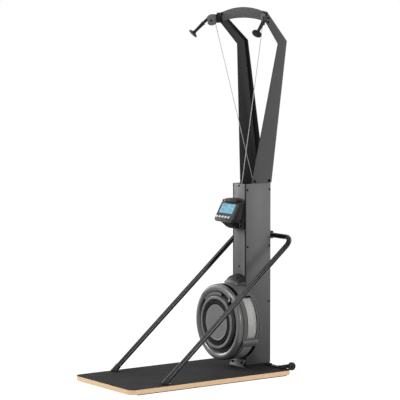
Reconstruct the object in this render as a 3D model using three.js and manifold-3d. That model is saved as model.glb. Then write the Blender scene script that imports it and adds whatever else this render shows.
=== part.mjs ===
// Standing ski trainer: a platform, a covered steel column with a fan flywheel at its foot,
// two spread arms with an arch band between their tops, and two pull handles on cords.
// Lengths are millimetres and +Z is up. The origin lies on the floor below the middle of the
// platform, and the user stands on the platform and faces +Y. Right is +X.

import * as THREE from 'three';
import { mergeVertices } from 'three/addons/utils/BufferGeometryUtils.js';
import Module from 'manifold-3d';

const wasm = await Module();
wasm.setup();

// Fits shared by all pieces
const clearance = 0.3;
const overrun = 6;

// Platform: a plywood board with a thin anti-slip mat on rubber strips
const boardWidth = 600;
const boardLength = 1121;
const boardThickness = 26.2;
const boardCornerRadius = 45;
const matThickness = 1.5;
const footHeight = 4;
const footWidth = 44;
const footSideInset = 60;
const footEndInset = 50;
const matTop = footHeight + boardThickness + matThickness;

// Column: a folded inner mast with screwed sheet covers
const columnWidth = 123;
const columnFront = 394;
const columnDepth = 183;
const columnTop = 1106;
const coverThickness = 2;
const coverBottomGap = 3;
const coverFlange = 16;
const cornerSeam = 3.5;
const columnRear = columnFront + columnDepth;
const mastWall = 3;
const mastLip = 20;
const mastTopDrop = 6;
const armThickness = 2.5;
const coverInnerX = columnWidth / 2 - coverThickness;
const tabOuterX = coverInnerX - clearance;
const tabInnerX = tabOuterX - armThickness;
const mastHalfWidth = tabInnerX - clearance;
const mastFront = columnFront + coverThickness + clearance;
const mastRear = columnRear - coverThickness - clearance;

// Base plate under the column, with the lugs and studs of the transport wheels
const basePlateThickness = 6;
const basePlateInset = 62;
const basePlateHalfSpan = boardWidth / 2 - basePlateInset;
const basePlateBarDepth = 34;
const basePlateNeck = 78;
const wheelLugThickness = 4;
const wheelLugHeight = 23;
const wheelLugDepth = 72.5;
const wheelRadius = 24;
const wheelWidth = 22;
const wheelHubRadius = 11;
const wheelTreadBevel = 4;
const wheelHeight = 43.5;
const wheelBoardGap = 3.5;
const wheelStudRadius = 5;
const wheelHeadRadius = 9;
const wheelHeadThickness = 3;
const wheelY = boardLength / 2 + wheelBoardGap + wheelRadius;

// Front foot bracket
const footBracketHalfWidth = 62;
const footBracketDepth = 26;
const footBracketThickness = 3;
const footBracketHeight = 42;

// Arms: folded sheet channels, open to the inside, that lean outward in one flat plane each
const armLean = 9.91 * Math.PI / 180;
const armBendZ = columnTop + 1;
const armTabLength = 220;
const armFrontBottomY = 443.5;
const armRearY = 585;
const armElbowFrontY = 524;
const armElbowFrontZ = 1918;
const armElbowRearZ = 1935;
const armEndY = 421.3;
const armEndLowerZ = 2040;
const armEndUpperZ = 2101;
const armRearFlangeBottom = 57;
const armRearFlangeElbow = 32;
const armRearFlangeEnd = 29;
const armFrontReturn = 6;
const armEndWallWidth = 46;
const armFoldShare = 0.44;

// Arch band between the arm tops
const archFront = 417;
const archPeakZ = 2131.5;
const archOuterRadius = 751;
const archHeight = 62;
const archInnerRadius = 1053;
const archEndInset = 17;

// Top pulleys, their housings and the cords
const pulleyX = 252.6;
const pulleyY = 377.3;
const pulleyZ = 2054.8;
const pulleySplay = 57 * Math.PI / 180;
const pullAngle = 40.4 * Math.PI / 180;
const cordDiameter = 4;
const cordWrapRadius = 23.4;
const pulleyRadius = 25.2;
const pulleyHalfWidth = 5;
const pulleyGrooveHalfWidth = 2.4;
const pulleyLipHalfWidth = 4;
const pulleyRunningGap = 1;
const pulleyPinRadius = 4;
const housingRadius = 29.5;
const housingHalfWidth = 9;
const housingCapThickness = 2.5;
const housingNoseRadius = 9;
const housingNoseLength = 36.7;
const housingNoseRoot = 12;
const noseBallRadius = 10;
const housingOutlineShares = [
  [0.9, 0.72], [0.42, 1.12], [-0.1, 1.25], [-0.6, 1.26], [-0.97, 1.18], [-0.97, -0.42], [-0.9, -0.42],
];
const housingArcFrom = 218 * Math.PI / 180;
const housingArcTo = 318 * Math.PI / 180;
const cordBoreRadius = 3.6;
const cordStraightRun = 15;
const bracketThickness = 3;
const bracketTop = 46;
const bracketBottomShare = -0.3;
const bracketBendBack = 31;
const bracketOutlineShares = [
  [-1, bracketBottomShare], [0.08, bracketBottomShare], [0.26, 0.05], [0.26, 0.5],
  [-0.1, 0.72], [-0.85, 0.74], [-0.92, 1], [-1, 1],
];
const bracketFlangeInnerX = 214;
const bracketFlangeWidth = 12;
const bracketFlangeOuterX = bracketFlangeInnerX + bracketFlangeWidth;
const archBracketGap = 3;
const archHalfSpan = bracketFlangeInnerX - archBracketGap;

// Pull handles, sizes along the line on which they rest and slide, from the ball at the nose
const handleSwing = 20.3 * Math.PI / 180;
const handleFall = 44.3 * Math.PI / 180;
const gripLength = 69;
const gripCollarRadius = 12.3;
const gripCollarLength = 6;
const gripCollarTaper = 6;
const gripWaistRadius = 10.3;
const gripEndRadius = 8.8;
const gripBoreRadius = 5.5;
const gripBoreLength = 24;
const handleFlangeRadius = 29;
const handleFlangeThickness = 8;
const handleFlangeLength = 28;
const handleFlareShares = [[0.3, 0], [0.34, 0.2], [0.46, 0.4], [0.7, 0.54], [1, 0.62]];

// Stabiliser: one bent round tube from the platform, round the back of the column
const braceRadius = 15;
const braceInset = 40;
const braceX = boardWidth / 2 - braceInset;
const braceTopZ = 797;
const braceSlope = 40 * Math.PI / 180;
const braceBendRadius = 70;
const braceFootRadius = 27;
const braceFootThickness = 5;
const braceSleeveWall = 2;
const braceSleeveLength = 22;
const braceClampHalfWidth = 42;
const braceClampHeight = 44;
const braceClampWall = 6;
const braceTopY = columnRear + clearance + braceRadius;

// Fan unit on the front of the column, its axis along Y
const fanZ = 303;
const fanRadius = 222;
const fanWall = 2.7;
const fanShellFront = 262;
const fanShellRear = 385;
const fanBackWall = 3;
const fanRimRadius = 224.5;
const fanRimWidth = 8;
const fanHubFlangeRadius = 70;
const fanWindowFront = 295;
const fanWindowRear = 357;
const fanWindowLow = -20 * Math.PI / 180;
const fanWindowHigh = 44 * Math.PI / 180;
const fanMeshThickness = 1;
const fanMeshLap = 4;
const fanClampAngle = -28 * Math.PI / 180;
const fanClampWidth = 42;
const fanClampHeight = 11;
const fanClampSink = 5;
const fanClampFront = 268;
const fanClampRear = 376;
const fanBevelFront = 226;
const fanBulgeFront = 233;
const fanGrooveFloor = 250;
const fanGrooveInnerRadius = 158;
const fanGrooveOuterRadius = 180;
const fanBevelInnerRadius = 137;
const fanSkin = 3;
const ventBarWidth = 4;
const ventBarCount = 4;
const ventPitch = 9;
const ventFront = 228;
const ventBarDepth = 4;
const ventSpokeDepth = 4;
const ventSpokeCount = 6;
const ventSpokeWidth = 6;
const centreDiscThickness = 3;
const damperThickness = 3;
const damperAngle = 48 * Math.PI / 180;
const damperLeverWidth = 14;
const damperLeverThickness = 5;
const damperLeverTip = 214;
const damperStubOuterRadius = 174;

// Flywheel, shaft, bearings and cord drums
const shaftRadius = 8.5;
const shaftFront = 292;
const shaftRear = 556;
const bearingRadius = 20;
const bearingWidth = 12;
const bearingPlateY = 540;
const bearingPlateThickness = 6;
const bearingPlateHalfHeight = 42;
const flywheelRadius = 200;
const flywheelHubRadius = 30;
const flywheelHubFront = 302;
const flywheelHubRear = 372;
const flywheelDiscFront = 340;
const flywheelDiscThickness = 4;
const flywheelRimWidth = 12;
const flywheelRimDepth = 12;
const bladeFront = 298;
const bladeInnerRadius = 60;
const bladeOuterRadius = 194;
const bladeThickness = 2.4;
const bladeSink = 1;
const bladeCount = 12;
const drumWidth = 22;
const drumFlangeRadius = 34;
const drumFlangeThickness = 2.5;
const rightCordY = 411.5;
const leftCordY = 502;
const coverShaftHoleRadius = 38;

// Cord guide plate in the mast top
const guideThickness = 10;
const guideDrop = 1;
const guideRear = 540;
const guideHoleRadius = 6;

// Fairing between the column and the fan
const hoodRearZ = 561;
const hoodCrown = 16;
const hoodFront = 330;
const hoodSlopeDrop = 64;
const hoodFloorZ = 500;
const hoodSteps = 6;

// Console
const consoleTilt = 29.2 * Math.PI / 180;
const consoleY = 304.9;
const consoleZ = 948.3;
const consoleWidth = 178;
const consoleHeight = 128;
const consoleCornerRadius = 18;
const consoleFaceDepth = 12;
const screenWidth = 129;
const screenHeight = 61;
const screenCornerRadius = 2;
const screenOffsetX = -9;
const screenOffsetUp = 18;
const screenSink = 0.8;
const screenThickness = 3.2;
const buttonCount = 5;
const buttonWidth = 20;
const buttonHeight = 13;
const buttonCornerRadius = 5;
const buttonPitch = 28.5;
const buttonRowX = -16;
const buttonRowUp = -37;
const buttonProud = 2.2;
const buttonDepth = 9;
const consoleShellWall = 3;
const consoleShellInset = 3;
const consoleWaistY = 347;
const consoleWaistZ = 946;
const consoleWaistTilt = 14 * Math.PI / 180;
const consoleWaistHalfWidth = 78;
const consoleWaistHalfHeight = 68;
const consoleTailY = 382;
const consoleTailZ = 953;
const consoleTailTilt = 3 * Math.PI / 180;
const consoleTailHalfWidth = 50;
const consoleTailHalfHeight = 62;
const hingeY = 368;
const hingeZ = 862;
const hingePinRadius = 4;
const hingeEyeRadius = 9.5;
const hingeNeckHalfDepth = 8;
const hingeNeckRise = 31;
const hingeNeckHalfWidth = 17.7;
const cradleHalfWidth = 55;
const cradleFront = 352;
const cradleLowZ = 843;
const cradleHighZ = 878;
const cradleCornerRadius = 10;
const cradleWall = 4;

// Segment counts
const cornerSteps = 4;
const roundFine = 40;
const roundMedium = 20;
const roundSmall = 12;
const cordSides = 8;

// Axes
const axisX = new THREE.Vector3(1, 0, 0);
const axisY = new THREE.Vector3(0, 1, 0);
const axisZ = new THREE.Vector3(0, 0, 1);

const vec = (x, y, z) => new THREE.Vector3(x, y, z);

function frame(x, y, z, origin = vec(0, 0, 0)) {
  return new THREE.Matrix4().makeBasis(x, y, z).setPosition(origin);
}

// Solids and their joins and cuts

function signedVolume(geometry) {
  const place = geometry.getAttribute('position');
  const index = geometry.getIndex();
  const corners = [vec(0, 0, 0), vec(0, 0, 0), vec(0, 0, 0)];
  let sum = 0;
  for (let i = 0; i < index.count; i += 3) {
    corners.forEach((corner, k) => corner.fromBufferAttribute(place, index.getX(i + k)));
    sum += corners[0].dot(corners[1].clone().cross(corners[2]));
  }
  return sum / 6;
}

function turnFaces(geometry) {
  const index = geometry.getIndex();
  for (let i = 0; i < index.count; i += 3) {
    const first = index.getX(i);
    index.setX(i, index.getX(i + 1));
    index.setX(i + 1, first);
  }
  return geometry;
}

// Triangles whose corners have been merged into one point are left out
function dropFlatFaces(geometry) {
  const index = Array.from(geometry.getIndex().array);
  const kept = [];
  for (let i = 0; i < index.length; i += 3) {
    const [a, b, c] = index.slice(i, i + 3);
    if (a !== b && b !== c && c !== a) kept.push(a, b, c);
  }
  geometry.setIndex(kept);
  return geometry;
}

function closed(geometry) {
  const copy = geometry.clone();
  copy.deleteAttribute('normal');
  copy.deleteAttribute('uv');
  const welded = dropFlatFaces(mergeVertices(copy));
  if (signedVolume(welded) < 0) turnFaces(welded);
  welded.computeVertexNormals();
  return welded;
}

function toSolid(geometry) {
  const welded = closed(geometry);
  return new wasm.Manifold(new wasm.Mesh({
    numProp: 3,
    vertProperties: new Float32Array(welded.getAttribute('position').array),
    triVerts: new Uint32Array(welded.getIndex().array),
  }));
}

function fromSolid(solid) {
  const mesh = solid.getMesh();
  const geometry = new THREE.BufferGeometry();
  const places = new Float32Array(mesh.numVert * 3);
  for (let i = 0; i < mesh.numVert; i += 1) {
    places.set(mesh.vertProperties.slice(i * mesh.numProp, i * mesh.numProp + 3), i * 3);
  }
  geometry.setAttribute('position', new THREE.BufferAttribute(places, 3));
  geometry.setIndex(new THREE.BufferAttribute(new Uint32Array(mesh.triVerts), 1));
  geometry.computeVertexNormals();
  return geometry;
}

function join(...geometries) {
  return fromSolid(geometries.map(toSolid).reduce((sum, next) => sum.add(next)));
}

function cut(base, ...tools) {
  return fromSolid(tools.map(toSolid).reduce((rest, tool) => rest.subtract(tool), toSolid(base)));
}

// Basic shapes

function box(low, high) {
  const size = high.clone().sub(low);
  const middle = high.clone().add(low).multiplyScalar(0.5);
  return new THREE.BoxGeometry(size.x, size.y, size.z).translate(middle.x, middle.y, middle.z);
}

function prism(points, depth, holes = []) {
  const shape = new THREE.Shape(points.map(([x, y]) => new THREE.Vector2(x, y)));
  shape.holes = holes.map((hole) => new THREE.Path(hole.map(([x, y]) => new THREE.Vector2(x, y))));
  return new THREE.ExtrudeGeometry(shape, { depth, bevelEnabled: false });
}

// An outline in X and Z, extruded along Y between two places
function facing(points, from, to, holes = []) {
  const place = frame(axisX, axisZ, axisY.clone().negate(), vec(0, to, 0));
  return prism(points, to - from, holes).applyMatrix4(place);
}

// An outline in Y and Z, extruded along X between two places
function sideways(points, from, to) {
  return prism(points, to - from).applyMatrix4(frame(axisY, axisZ, axisX, vec(from, 0, 0)));
}

function rod(start, end, radius, sides) {
  const along = end.clone().sub(start);
  const turn = new THREE.Quaternion().setFromUnitVectors(axisY, along.clone().normalize());
  const middle = start.clone().add(end).multiplyScalar(0.5);
  return new THREE.CylinderGeometry(radius, radius, along.length(), sides)
    .applyQuaternion(turn).translate(middle.x, middle.y, middle.z);
}

// A closed profile of [radius, place along Y] turned about the Y axis
function turned(profile, sides) {
  const loop = [...profile, profile[0]].map(([radius, along]) => new THREE.Vector2(radius, along));
  return closed(new THREE.LatheGeometry(loop, sides));
}

// A profile that starts and ends on the axis
function turnedFull(profile, sides) {
  const line = profile.map(([radius, along]) => new THREE.Vector2(radius, along));
  return closed(new THREE.LatheGeometry(line, sides));
}

function arc(centreX, centreY, radius, from, to, steps) {
  return Array.from({ length: steps + 1 }, (_, i) => {
    const angle = from + (to - from) * i / steps;
    return [centreX + radius * Math.cos(angle), centreY + radius * Math.sin(angle)];
  });
}

// How near a faceted circle's flats come to its centre
function apothem(radius, sides) {
  return radius * Math.cos(Math.PI / sides);
}

function circle(centreX, centreY, radius, sides) {
  return arc(centreX, centreY, radius, 0, 2 * Math.PI, sides).slice(0, sides);
}

function roundedRectangle(width, height, radius, centreX = 0, centreY = 0, steps = cornerSteps) {
  const x = width / 2 - radius;
  const y = height / 2 - radius;
  const quarter = Math.PI / 2;
  return [[x, y, 0], [-x, y, 1], [-x, -y, 2], [x, -y, 3]].flatMap(([cx, cy, turn]) =>
    arc(centreX + cx, centreY + cy, radius, turn * quarter, (turn + 1) * quarter, steps));
}

// A skin through sections with the same number of points, closed by a fan at each end
function loft(sections) {
  const count = sections[0].length;
  const places = sections.flat();
  const faces = [];
  for (let s = 0; s + 1 < sections.length; s += 1) {
    for (let i = 0; i < count; i += 1) {
      const next = (i + 1) % count;
      const a = s * count + i;
      const b = s * count + next;
      faces.push(a, b, a + count, b, b + count, a + count);
    }
  }
  [0, sections.length - 1].forEach((s) => {
    const middle = sections[s].reduce((sum, p) => sum.add(p), vec(0, 0, 0)).divideScalar(count);
    const centre = places.push(middle) - 1;
    for (let i = 0; i < count; i += 1) {
      const a = s * count + i;
      const b = s * count + (i + 1) % count;
      faces.push(...(s === 0 ? [centre, b, a] : [centre, a, b]));
    }
  });
  const geometry = new THREE.BufferGeometry().setFromPoints(places);
  geometry.setIndex(faces);
  return closed(geometry);
}

// A route that a tube follows from point to point, with one section at each point
class Route extends THREE.Curve {
  constructor(points) {
    super();
    this.points = points;
  }

  getPoint(t) {
    const place = t * (this.points.length - 1);
    const i = Math.min(Math.floor(place), this.points.length - 2);
    return this.points[i].clone().lerp(this.points[i + 1], place - i);
  }

  getPointAt(t) {
    return this.getPoint(t);
  }

  getTangentAt(t) {
    const i = Math.round(t * (this.points.length - 1));
    const before = this.points[Math.max(i - 1, 0)];
    const here = this.points[i];
    const after = this.points[Math.min(i + 1, this.points.length - 1)];
    const arriving = here.clone().sub(before).normalize();
    const leaving = after.clone().sub(here).normalize();
    return arriving.add(leaving).normalize();
  }
}

function tube(points, radius, sides) {
  const section = new THREE.Shape(circle(0, 0, radius, sides).map(([x, y]) => new THREE.Vector2(x, y)));
  const route = new Route(points);
  return closed(new THREE.ExtrudeGeometry(section, { steps: points.length - 1, extrudePath: route }));
}

// The points of one round bend between two straight runs that meet at a corner
function bend(before, corner, after, radius, steps) {
  const back = before.clone().sub(corner).normalize();
  const ahead = after.clone().sub(corner).normalize();
  const half = back.angleTo(ahead) / 2;
  const middle = back.clone().add(ahead).normalize();
  const centre = corner.clone().addScaledVector(middle, radius / Math.sin(half));
  const start = corner.clone().addScaledVector(back, radius / Math.tan(half)).sub(centre);
  const end = corner.clone().addScaledVector(ahead, radius / Math.tan(half)).sub(centre);
  const axis = start.clone().cross(end).normalize();
  const sweep = Math.PI - 2 * half;
  return Array.from({ length: steps + 1 }, (_, i) =>
    start.clone().applyAxisAngle(axis, sweep * i / steps).add(centre));
}

// Materials

function material(color, roughness, metalness) {
  return new THREE.MeshStandardMaterial({ color, roughness, metalness });
}

const plywood = material(0xd8b48c, 0.6, 0);
const matFilm = material(0x3c3c40, 0.75, 0);
const rubber = material(0x1d1d1f, 0.9, 0);
const coatedSteel = material(0x58585b, 0.55, 0.3);
const darkSteel = material(0x2c2c2e, 0.5, 0.3);
const bareSteel = material(0xa8a8aa, 0.35, 0.9);
const shellPlastic = material(0x4a4a4d, 0.5, 0);
const blackPlastic = material(0x1c1c1e, 0.5, 0);
const meshMetal = material(0xb4b4b6, 0.5, 0.6);
const cordMaterial = material(0xc8c8ca, 0.8, 0);
const screenMaterial = material(0x6fb0d2, 0.25, 0);
const buttonMaterial = material(0xe6e6e8, 0.5, 0);

const model = new THREE.Group();
model.name = 'ski_trainer';

function add(name, geometry, look) {
  const mesh = new THREE.Mesh(closed(geometry), look);
  mesh.name = name;
  model.add(mesh);
  return mesh;
}

function mirrored(geometry) {
  return closed(geometry).applyMatrix4(new THREE.Matrix4().makeScale(-1, 1, 1));
}

function addPair(name, geometry, look) {
  add(`${name}_right`, geometry, look);
  add(`${name}_left`, mirrored(geometry), look);
}

// Platform

function platformBoard() {
  return prism(roundedRectangle(boardWidth, boardLength, boardCornerRadius), boardThickness)
    .translate(0, 0, footHeight);
}

function platformMat() {
  return prism(roundedRectangle(boardWidth, boardLength, boardCornerRadius), matThickness)
    .translate(0, 0, footHeight + boardThickness);
}

function footStrip(middleY) {
  const halfLength = boardWidth / 2 - footSideInset;
  const front = middleY - footWidth / 2;
  return box(vec(-halfLength, front, 0), vec(halfLength, front + footWidth, footHeight));
}

const footEndY = boardLength / 2 - footEndInset - footWidth / 2;
add('platform_board', platformBoard(), plywood);
add('platform_mat', platformMat(), matFilm);
add('foot_strip_front', footStrip(-footEndY), rubber);
add('foot_strip_middle', footStrip(0), rubber);
add('foot_strip_rear', footStrip(footEndY), rubber);

// Base plate and transport wheels

const basePlateLow = matTop + clearance;
const basePlateHigh = basePlateLow + basePlateThickness;
const wheelInnerX = basePlateHalfSpan + wheelLugThickness + clearance;
const wheelOuterX = wheelInnerX + wheelWidth;

function basePlate() {
  const barRear = boardLength / 2;
  const barFront = barRear - basePlateBarDepth;
  const outline = [
    [-basePlateHalfSpan, barFront], [-basePlateNeck, barFront], [-basePlateNeck, mastFront],
    [basePlateNeck, mastFront], [basePlateNeck, barFront], [basePlateHalfSpan, barFront],
    [basePlateHalfSpan, barRear], [basePlateNeck, barRear], [basePlateNeck, columnRear],
    [-basePlateNeck, columnRear], [-basePlateNeck, barRear], [-basePlateHalfSpan, barRear],
  ];
  const plate = prism(outline, basePlateThickness).translate(0, 0, basePlateLow);
  const lug = (side) => {
    const inner = side * (basePlateHalfSpan - wheelLugThickness / 2);
    const outer = side * (basePlateHalfSpan + wheelLugThickness);
    const low = vec(Math.min(inner, outer), barFront, basePlateLow);
    const high = vec(Math.max(inner, outer), barFront + wheelLugDepth, basePlateLow + wheelLugHeight);
    return box(low, high);
  };
  const headInner = wheelOuterX + clearance;
  const headOuter = headInner + wheelHeadThickness;
  const onAxle = (x) => vec(x, wheelY, wheelHeight);
  const stud = (side) =>
    rod(onAxle(side * basePlateHalfSpan), onAxle(side * headOuter), wheelStudRadius, roundSmall);
  const head = (side) =>
    rod(onAxle(side * headInner), onAxle(side * headOuter), wheelHeadRadius, roundSmall);
  return join(plate, ...[-1, 1].flatMap((side) => [lug(side), stud(side), head(side)]));
}

function transportWheel() {
  const bore = wheelStudRadius + clearance;
  const profile = [
    [bore, 0], [wheelRadius - wheelTreadBevel, 0], [wheelRadius, wheelTreadBevel],
    [wheelRadius, wheelWidth - wheelTreadBevel], [wheelRadius - wheelTreadBevel, wheelWidth],
    [wheelHubRadius, wheelWidth], [bore, wheelWidth],
  ];
  return turned(profile, roundMedium)
    .applyMatrix4(frame(axisY, axisX, axisZ.clone().negate(), vec(wheelInnerX, wheelY, wheelHeight)));
}

add('base_plate', basePlate(), darkSteel);
addPair('transport_wheel', transportWheel(), rubber);

// Column

const coverBottom = basePlateHigh + coverBottomGap;
const mastBottom = basePlateHigh + clearance;
const mastTop = columnTop - mastTopDrop;

function innerMast() {
  const wall = mastHalfWidth - mastWall;
  const lip = mastHalfWidth - mastLip;
  const outline = [
    [-mastHalfWidth, mastFront], [-lip, mastFront], [-lip, mastFront + mastWall],
    [-wall, mastFront + mastWall], [-wall, mastRear - mastWall],
    [wall, mastRear - mastWall], [wall, mastFront + mastWall],
    [lip, mastFront + mastWall], [lip, mastFront], [mastHalfWidth, mastFront],
    [mastHalfWidth, mastRear], [-mastHalfWidth, mastRear],
  ];
  const channel = prism(outline, mastTop - mastBottom).translate(0, 0, mastBottom);
  const grip = wall + mastWall / 2;
  const bearingPlate = box(
    vec(-grip, bearingPlateY, fanZ - bearingPlateHalfHeight),
    vec(grip, bearingPlateY + bearingPlateThickness, fanZ + bearingPlateHalfHeight));
  const bore = rod(
    vec(0, bearingPlateY - overrun, fanZ), vec(0, bearingPlateY + bearingPlateThickness + overrun, fanZ),
    bearingRadius + clearance, roundMedium);
  return cut(join(channel, bearingPlate), bore);
}

function frontCover() {
  const halfWidth = coverInnerX - cornerSeam;
  const outline = [
    [-halfWidth, coverBottom], [halfWidth, coverBottom], [halfWidth, columnTop], [-halfWidth, columnTop],
  ];
  const hole = circle(0, fanZ, coverShaftHoleRadius, roundMedium);
  return facing(outline, columnFront, columnFront + coverThickness, [hole]);
}

function sideCover() {
  const outer = columnWidth / 2;
  const outline = [
    [coverInnerX, columnFront], [outer, columnFront], [outer, columnRear],
    [outer - coverFlange, columnRear], [outer - coverFlange, columnRear - coverThickness],
    [coverInnerX, columnRear - coverThickness],
  ];
  return prism(outline, columnTop - coverBottom).translate(0, 0, coverBottom);
}

add('inner_mast', innerMast(), darkSteel);
add('front_cover', frontCover(), coatedSteel);
addPair('side_cover', sideCover(), coatedSteel);

// Front foot bracket: a flat foot, with a plate that slopes from its front edge up to the column

function frontFootBracket() {
  const rear = columnFront - clearance;
  const front = rear - footBracketDepth;
  const low = matTop + clearance;
  const foot = low + footBracketThickness;
  const top = low + footBracketHeight;
  const slope = footBracketThickness * footBracketHeight / footBracketDepth;
  const outline = [
    [front, low], [rear, low], [rear, foot], [front + footBracketThickness, foot],
    [rear, top - slope], [rear, top], [front, foot],
  ];
  return sideways(outline, -footBracketHalfWidth, footBracketHalfWidth);
}

add('front_foot_bracket', frontFootBracket(), bareSteel);

// Arms: a web in a leaning plane, with a wide rear flange, a narrow front return and an end wall

const armFrame = frame(
  vec(Math.cos(armLean), 0, -Math.sin(armLean)), axisY, vec(Math.sin(armLean), 0, Math.cos(armLean)),
  vec(tabOuterX, 0, armBendZ));
const up = (z) => (z - armBendZ) / Math.cos(armLean);

// A wall along one edge of the web, from one [y, up] place to the next, as deep as two widths say.
// At an inside corner it starts a lead before its first place, so that it meets the wall there.
function armWall(from, to, fromWidth, toWidth, lead = 0) {
  const start = vec(0, from[0], from[1]);
  const end = vec(0, to[0], to[1]);
  const along = end.clone().sub(start);
  const length = along.length();
  along.normalize();
  const inward = axisX.clone().cross(along);
  const outline = [[-lead, 0], [length, 0], [length, -toWidth], [-lead, -fromWidth]];
  return prism(outline, armThickness).applyMatrix4(frame(along, axisX, inward.negate(), start));
}

function arm() {
  const bottomFront = [armFrontBottomY, 0];
  const bottomRear = [armRearY, 0];
  const elbowFront = [armElbowFrontY, up(armElbowFrontZ)];
  const elbowRear = [armRearY, up(armElbowRearZ)];
  const endLower = [armEndY, up(armEndLowerZ)];
  const endUpper = [armEndY, up(armEndUpperZ)];
  const outline = [bottomFront, bottomRear, elbowRear, endUpper, endLower, elbowFront];
  const web = sideways(outline, -armThickness, 0);
  const ahead = box(
    vec(-2 * armRearFlangeBottom, armEndY - armEndWallWidth, up(armEndLowerZ)),
    vec(armThickness, armEndY, up(armEndUpperZ) + armThickness));
  const walls = [
    armWall(elbowRear, bottomRear, armRearFlangeElbow, armRearFlangeBottom),
    armWall(endUpper, elbowRear, armRearFlangeEnd, armRearFlangeElbow),
    armWall(bottomFront, elbowFront, armFrontReturn, armFrontReturn),
    armWall(elbowFront, endLower, armFrontReturn, armFrontReturn, armThickness),
    armWall(endLower, endUpper, armEndWallWidth, armEndWallWidth),
  ];
  const leaning = cut(join(web, ...walls), ahead).applyMatrix4(armFrame);
  const tab = box(
    vec(tabInnerX, armFrontBottomY, armBendZ - armTabLength),
    vec(tabOuterX, mastRear - clearance, armBendZ + armThickness * armFoldShare));
  return join(leaning, tab);
}

addPair('arm', arm(), coatedSteel);

// Arch band: a curved flat plate that faces the user

function archBand() {
  const outerCentreZ = archPeakZ - archOuterRadius;
  const innerCentreZ = archPeakZ - archHeight - archInnerRadius;
  const outerEnd = Math.asin(archHalfSpan / archOuterRadius);
  const innerEnd = Math.asin((archHalfSpan - archEndInset) / archInnerRadius);
  const top = Math.PI / 2;
  const outline = [
    ...arc(0, outerCentreZ, archOuterRadius, top - outerEnd, top + outerEnd, roundSmall),
    ...arc(0, innerCentreZ, archInnerRadius, top + innerEnd, top - innerEnd, roundSmall),
  ];
  return facing(outline, archFront, armEndY - clearance);
}

add('arch_band', archBand(), coatedSteel);

// Top pulleys: the frame of the right one has X along the splay, Y up and Z inward

const splay = vec(Math.sin(pulleySplay), -Math.cos(pulleySplay), 0);
const inward = vec(-Math.cos(pulleySplay), -Math.sin(pulleySplay), 0);
const pulleyFrame = frame(splay, axisZ, inward, vec(pulleyX, pulleyY, pulleyZ));
const pullAcross = vec(Math.cos(pullAngle), -Math.sin(pullAngle), 0);
const pullUp = vec(Math.sin(pullAngle), Math.cos(pullAngle), 0);
const topTangent = pullUp.clone().multiplyScalar(cordWrapRadius);
const rearTangent = vec(-cordWrapRadius, 0, 0);
const housingLow = -housingHalfWidth;
const housingHigh = housingHalfWidth - housingCapThickness - clearance;
const chamberHalfWidth = pulleyHalfWidth + clearance;

// A point on the pull line, in the frame of the right pulley
function onPull(distance) {
  return topTangent.clone().addScaledVector(pullAcross, distance);
}

function fromPulley(point) {
  return point.clone().applyMatrix4(pulleyFrame);
}

function scaled(shares, size) {
  return shares.map(([across, along]) => [across * size, along * size]);
}

function housingOutline() {
  return [...scaled(housingOutlineShares, housingRadius),
    ...arc(0, 0, housingRadius, housingArcFrom, housingArcTo, cornerSteps)];
}

// The place where the cord leaves the housing's foot and turns towards the column
const cordTurn = vec(-cordWrapRadius, -cordStraightRun, 0);

// The ball at the nose's end, where the cord turns into the line of the handle
const noseBall = fromPulley(onPull(housingNoseLength));
const handleAlong = vec(
  Math.cos(handleFall) * Math.sin(handleSwing), -Math.cos(handleFall) * Math.cos(handleSwing),
  -Math.sin(handleFall));
const handleAcross = handleAlong.clone().cross(axisZ).normalize();

// A point on the right handle's line
function onHandle(distance) {
  return noseBall.clone().addScaledVector(handleAlong, distance);
}

function cordBores() {
  const away = vec(0, rightCordY, columnTop).sub(fromPulley(cordTurn)).setLength(pulleyRadius);
  const turn = fromPulley(cordTurn);
  const pastTurn = vec(cordTurn.x, cordTurn.y - cordBoreRadius / 2, 0);
  const pastBall = fromPulley(onPull(housingNoseLength + cordBoreRadius / 2));
  return [
    rod(fromPulley(onPull(0)), pastBall, cordBoreRadius, roundSmall),
    rod(onHandle(-cordBoreRadius / 2), onHandle(noseBallRadius + overrun), cordBoreRadius, roundSmall),
    rod(fromPulley(rearTangent), fromPulley(pastTurn), cordBoreRadius, roundSmall),
    rod(turn, turn.clone().add(away), cordBoreRadius, roundSmall),
  ];
}

function pulleyHousing() {
  const body = prism(housingOutline(), housingHigh - housingLow).translate(0, 0, housingLow);
  const noseEnd = onPull(housingNoseLength);
  const nose = rod(onPull(housingNoseRoot), noseEnd, housingNoseRadius, roundMedium);
  const ball = new THREE.SphereGeometry(noseBallRadius, roundMedium, roundSmall)
    .translate(noseEnd.x, noseEnd.y, noseEnd.z);
  const onPin = (z) => vec(0, 0, z);
  const chamber = rod(
    onPin(-chamberHalfWidth), onPin(housingHigh + overrun), pulleyRadius + pulleyRunningGap, roundMedium);
  const pinRoot = (housingLow - chamberHalfWidth) / 2;
  const pin = rod(onPin(pinRoot), onPin(housingHigh), pulleyPinRadius, roundSmall);
  const shell = cut(join(body, nose, ball), chamber).applyMatrix4(pulleyFrame);
  return join(cut(shell, ...cordBores()), pin.applyMatrix4(pulleyFrame));
}

function pulleyCap() {
  const plate = prism(housingOutline(), housingCapThickness).translate(0, 0, housingHigh + clearance);
  const noseRadius = housingNoseRadius + clearance;
  const nose = rod(onPull(0), onPull(housingNoseLength + overrun), noseRadius, roundMedium);
  return cut(plate, nose).applyMatrix4(pulleyFrame);
}

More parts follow.
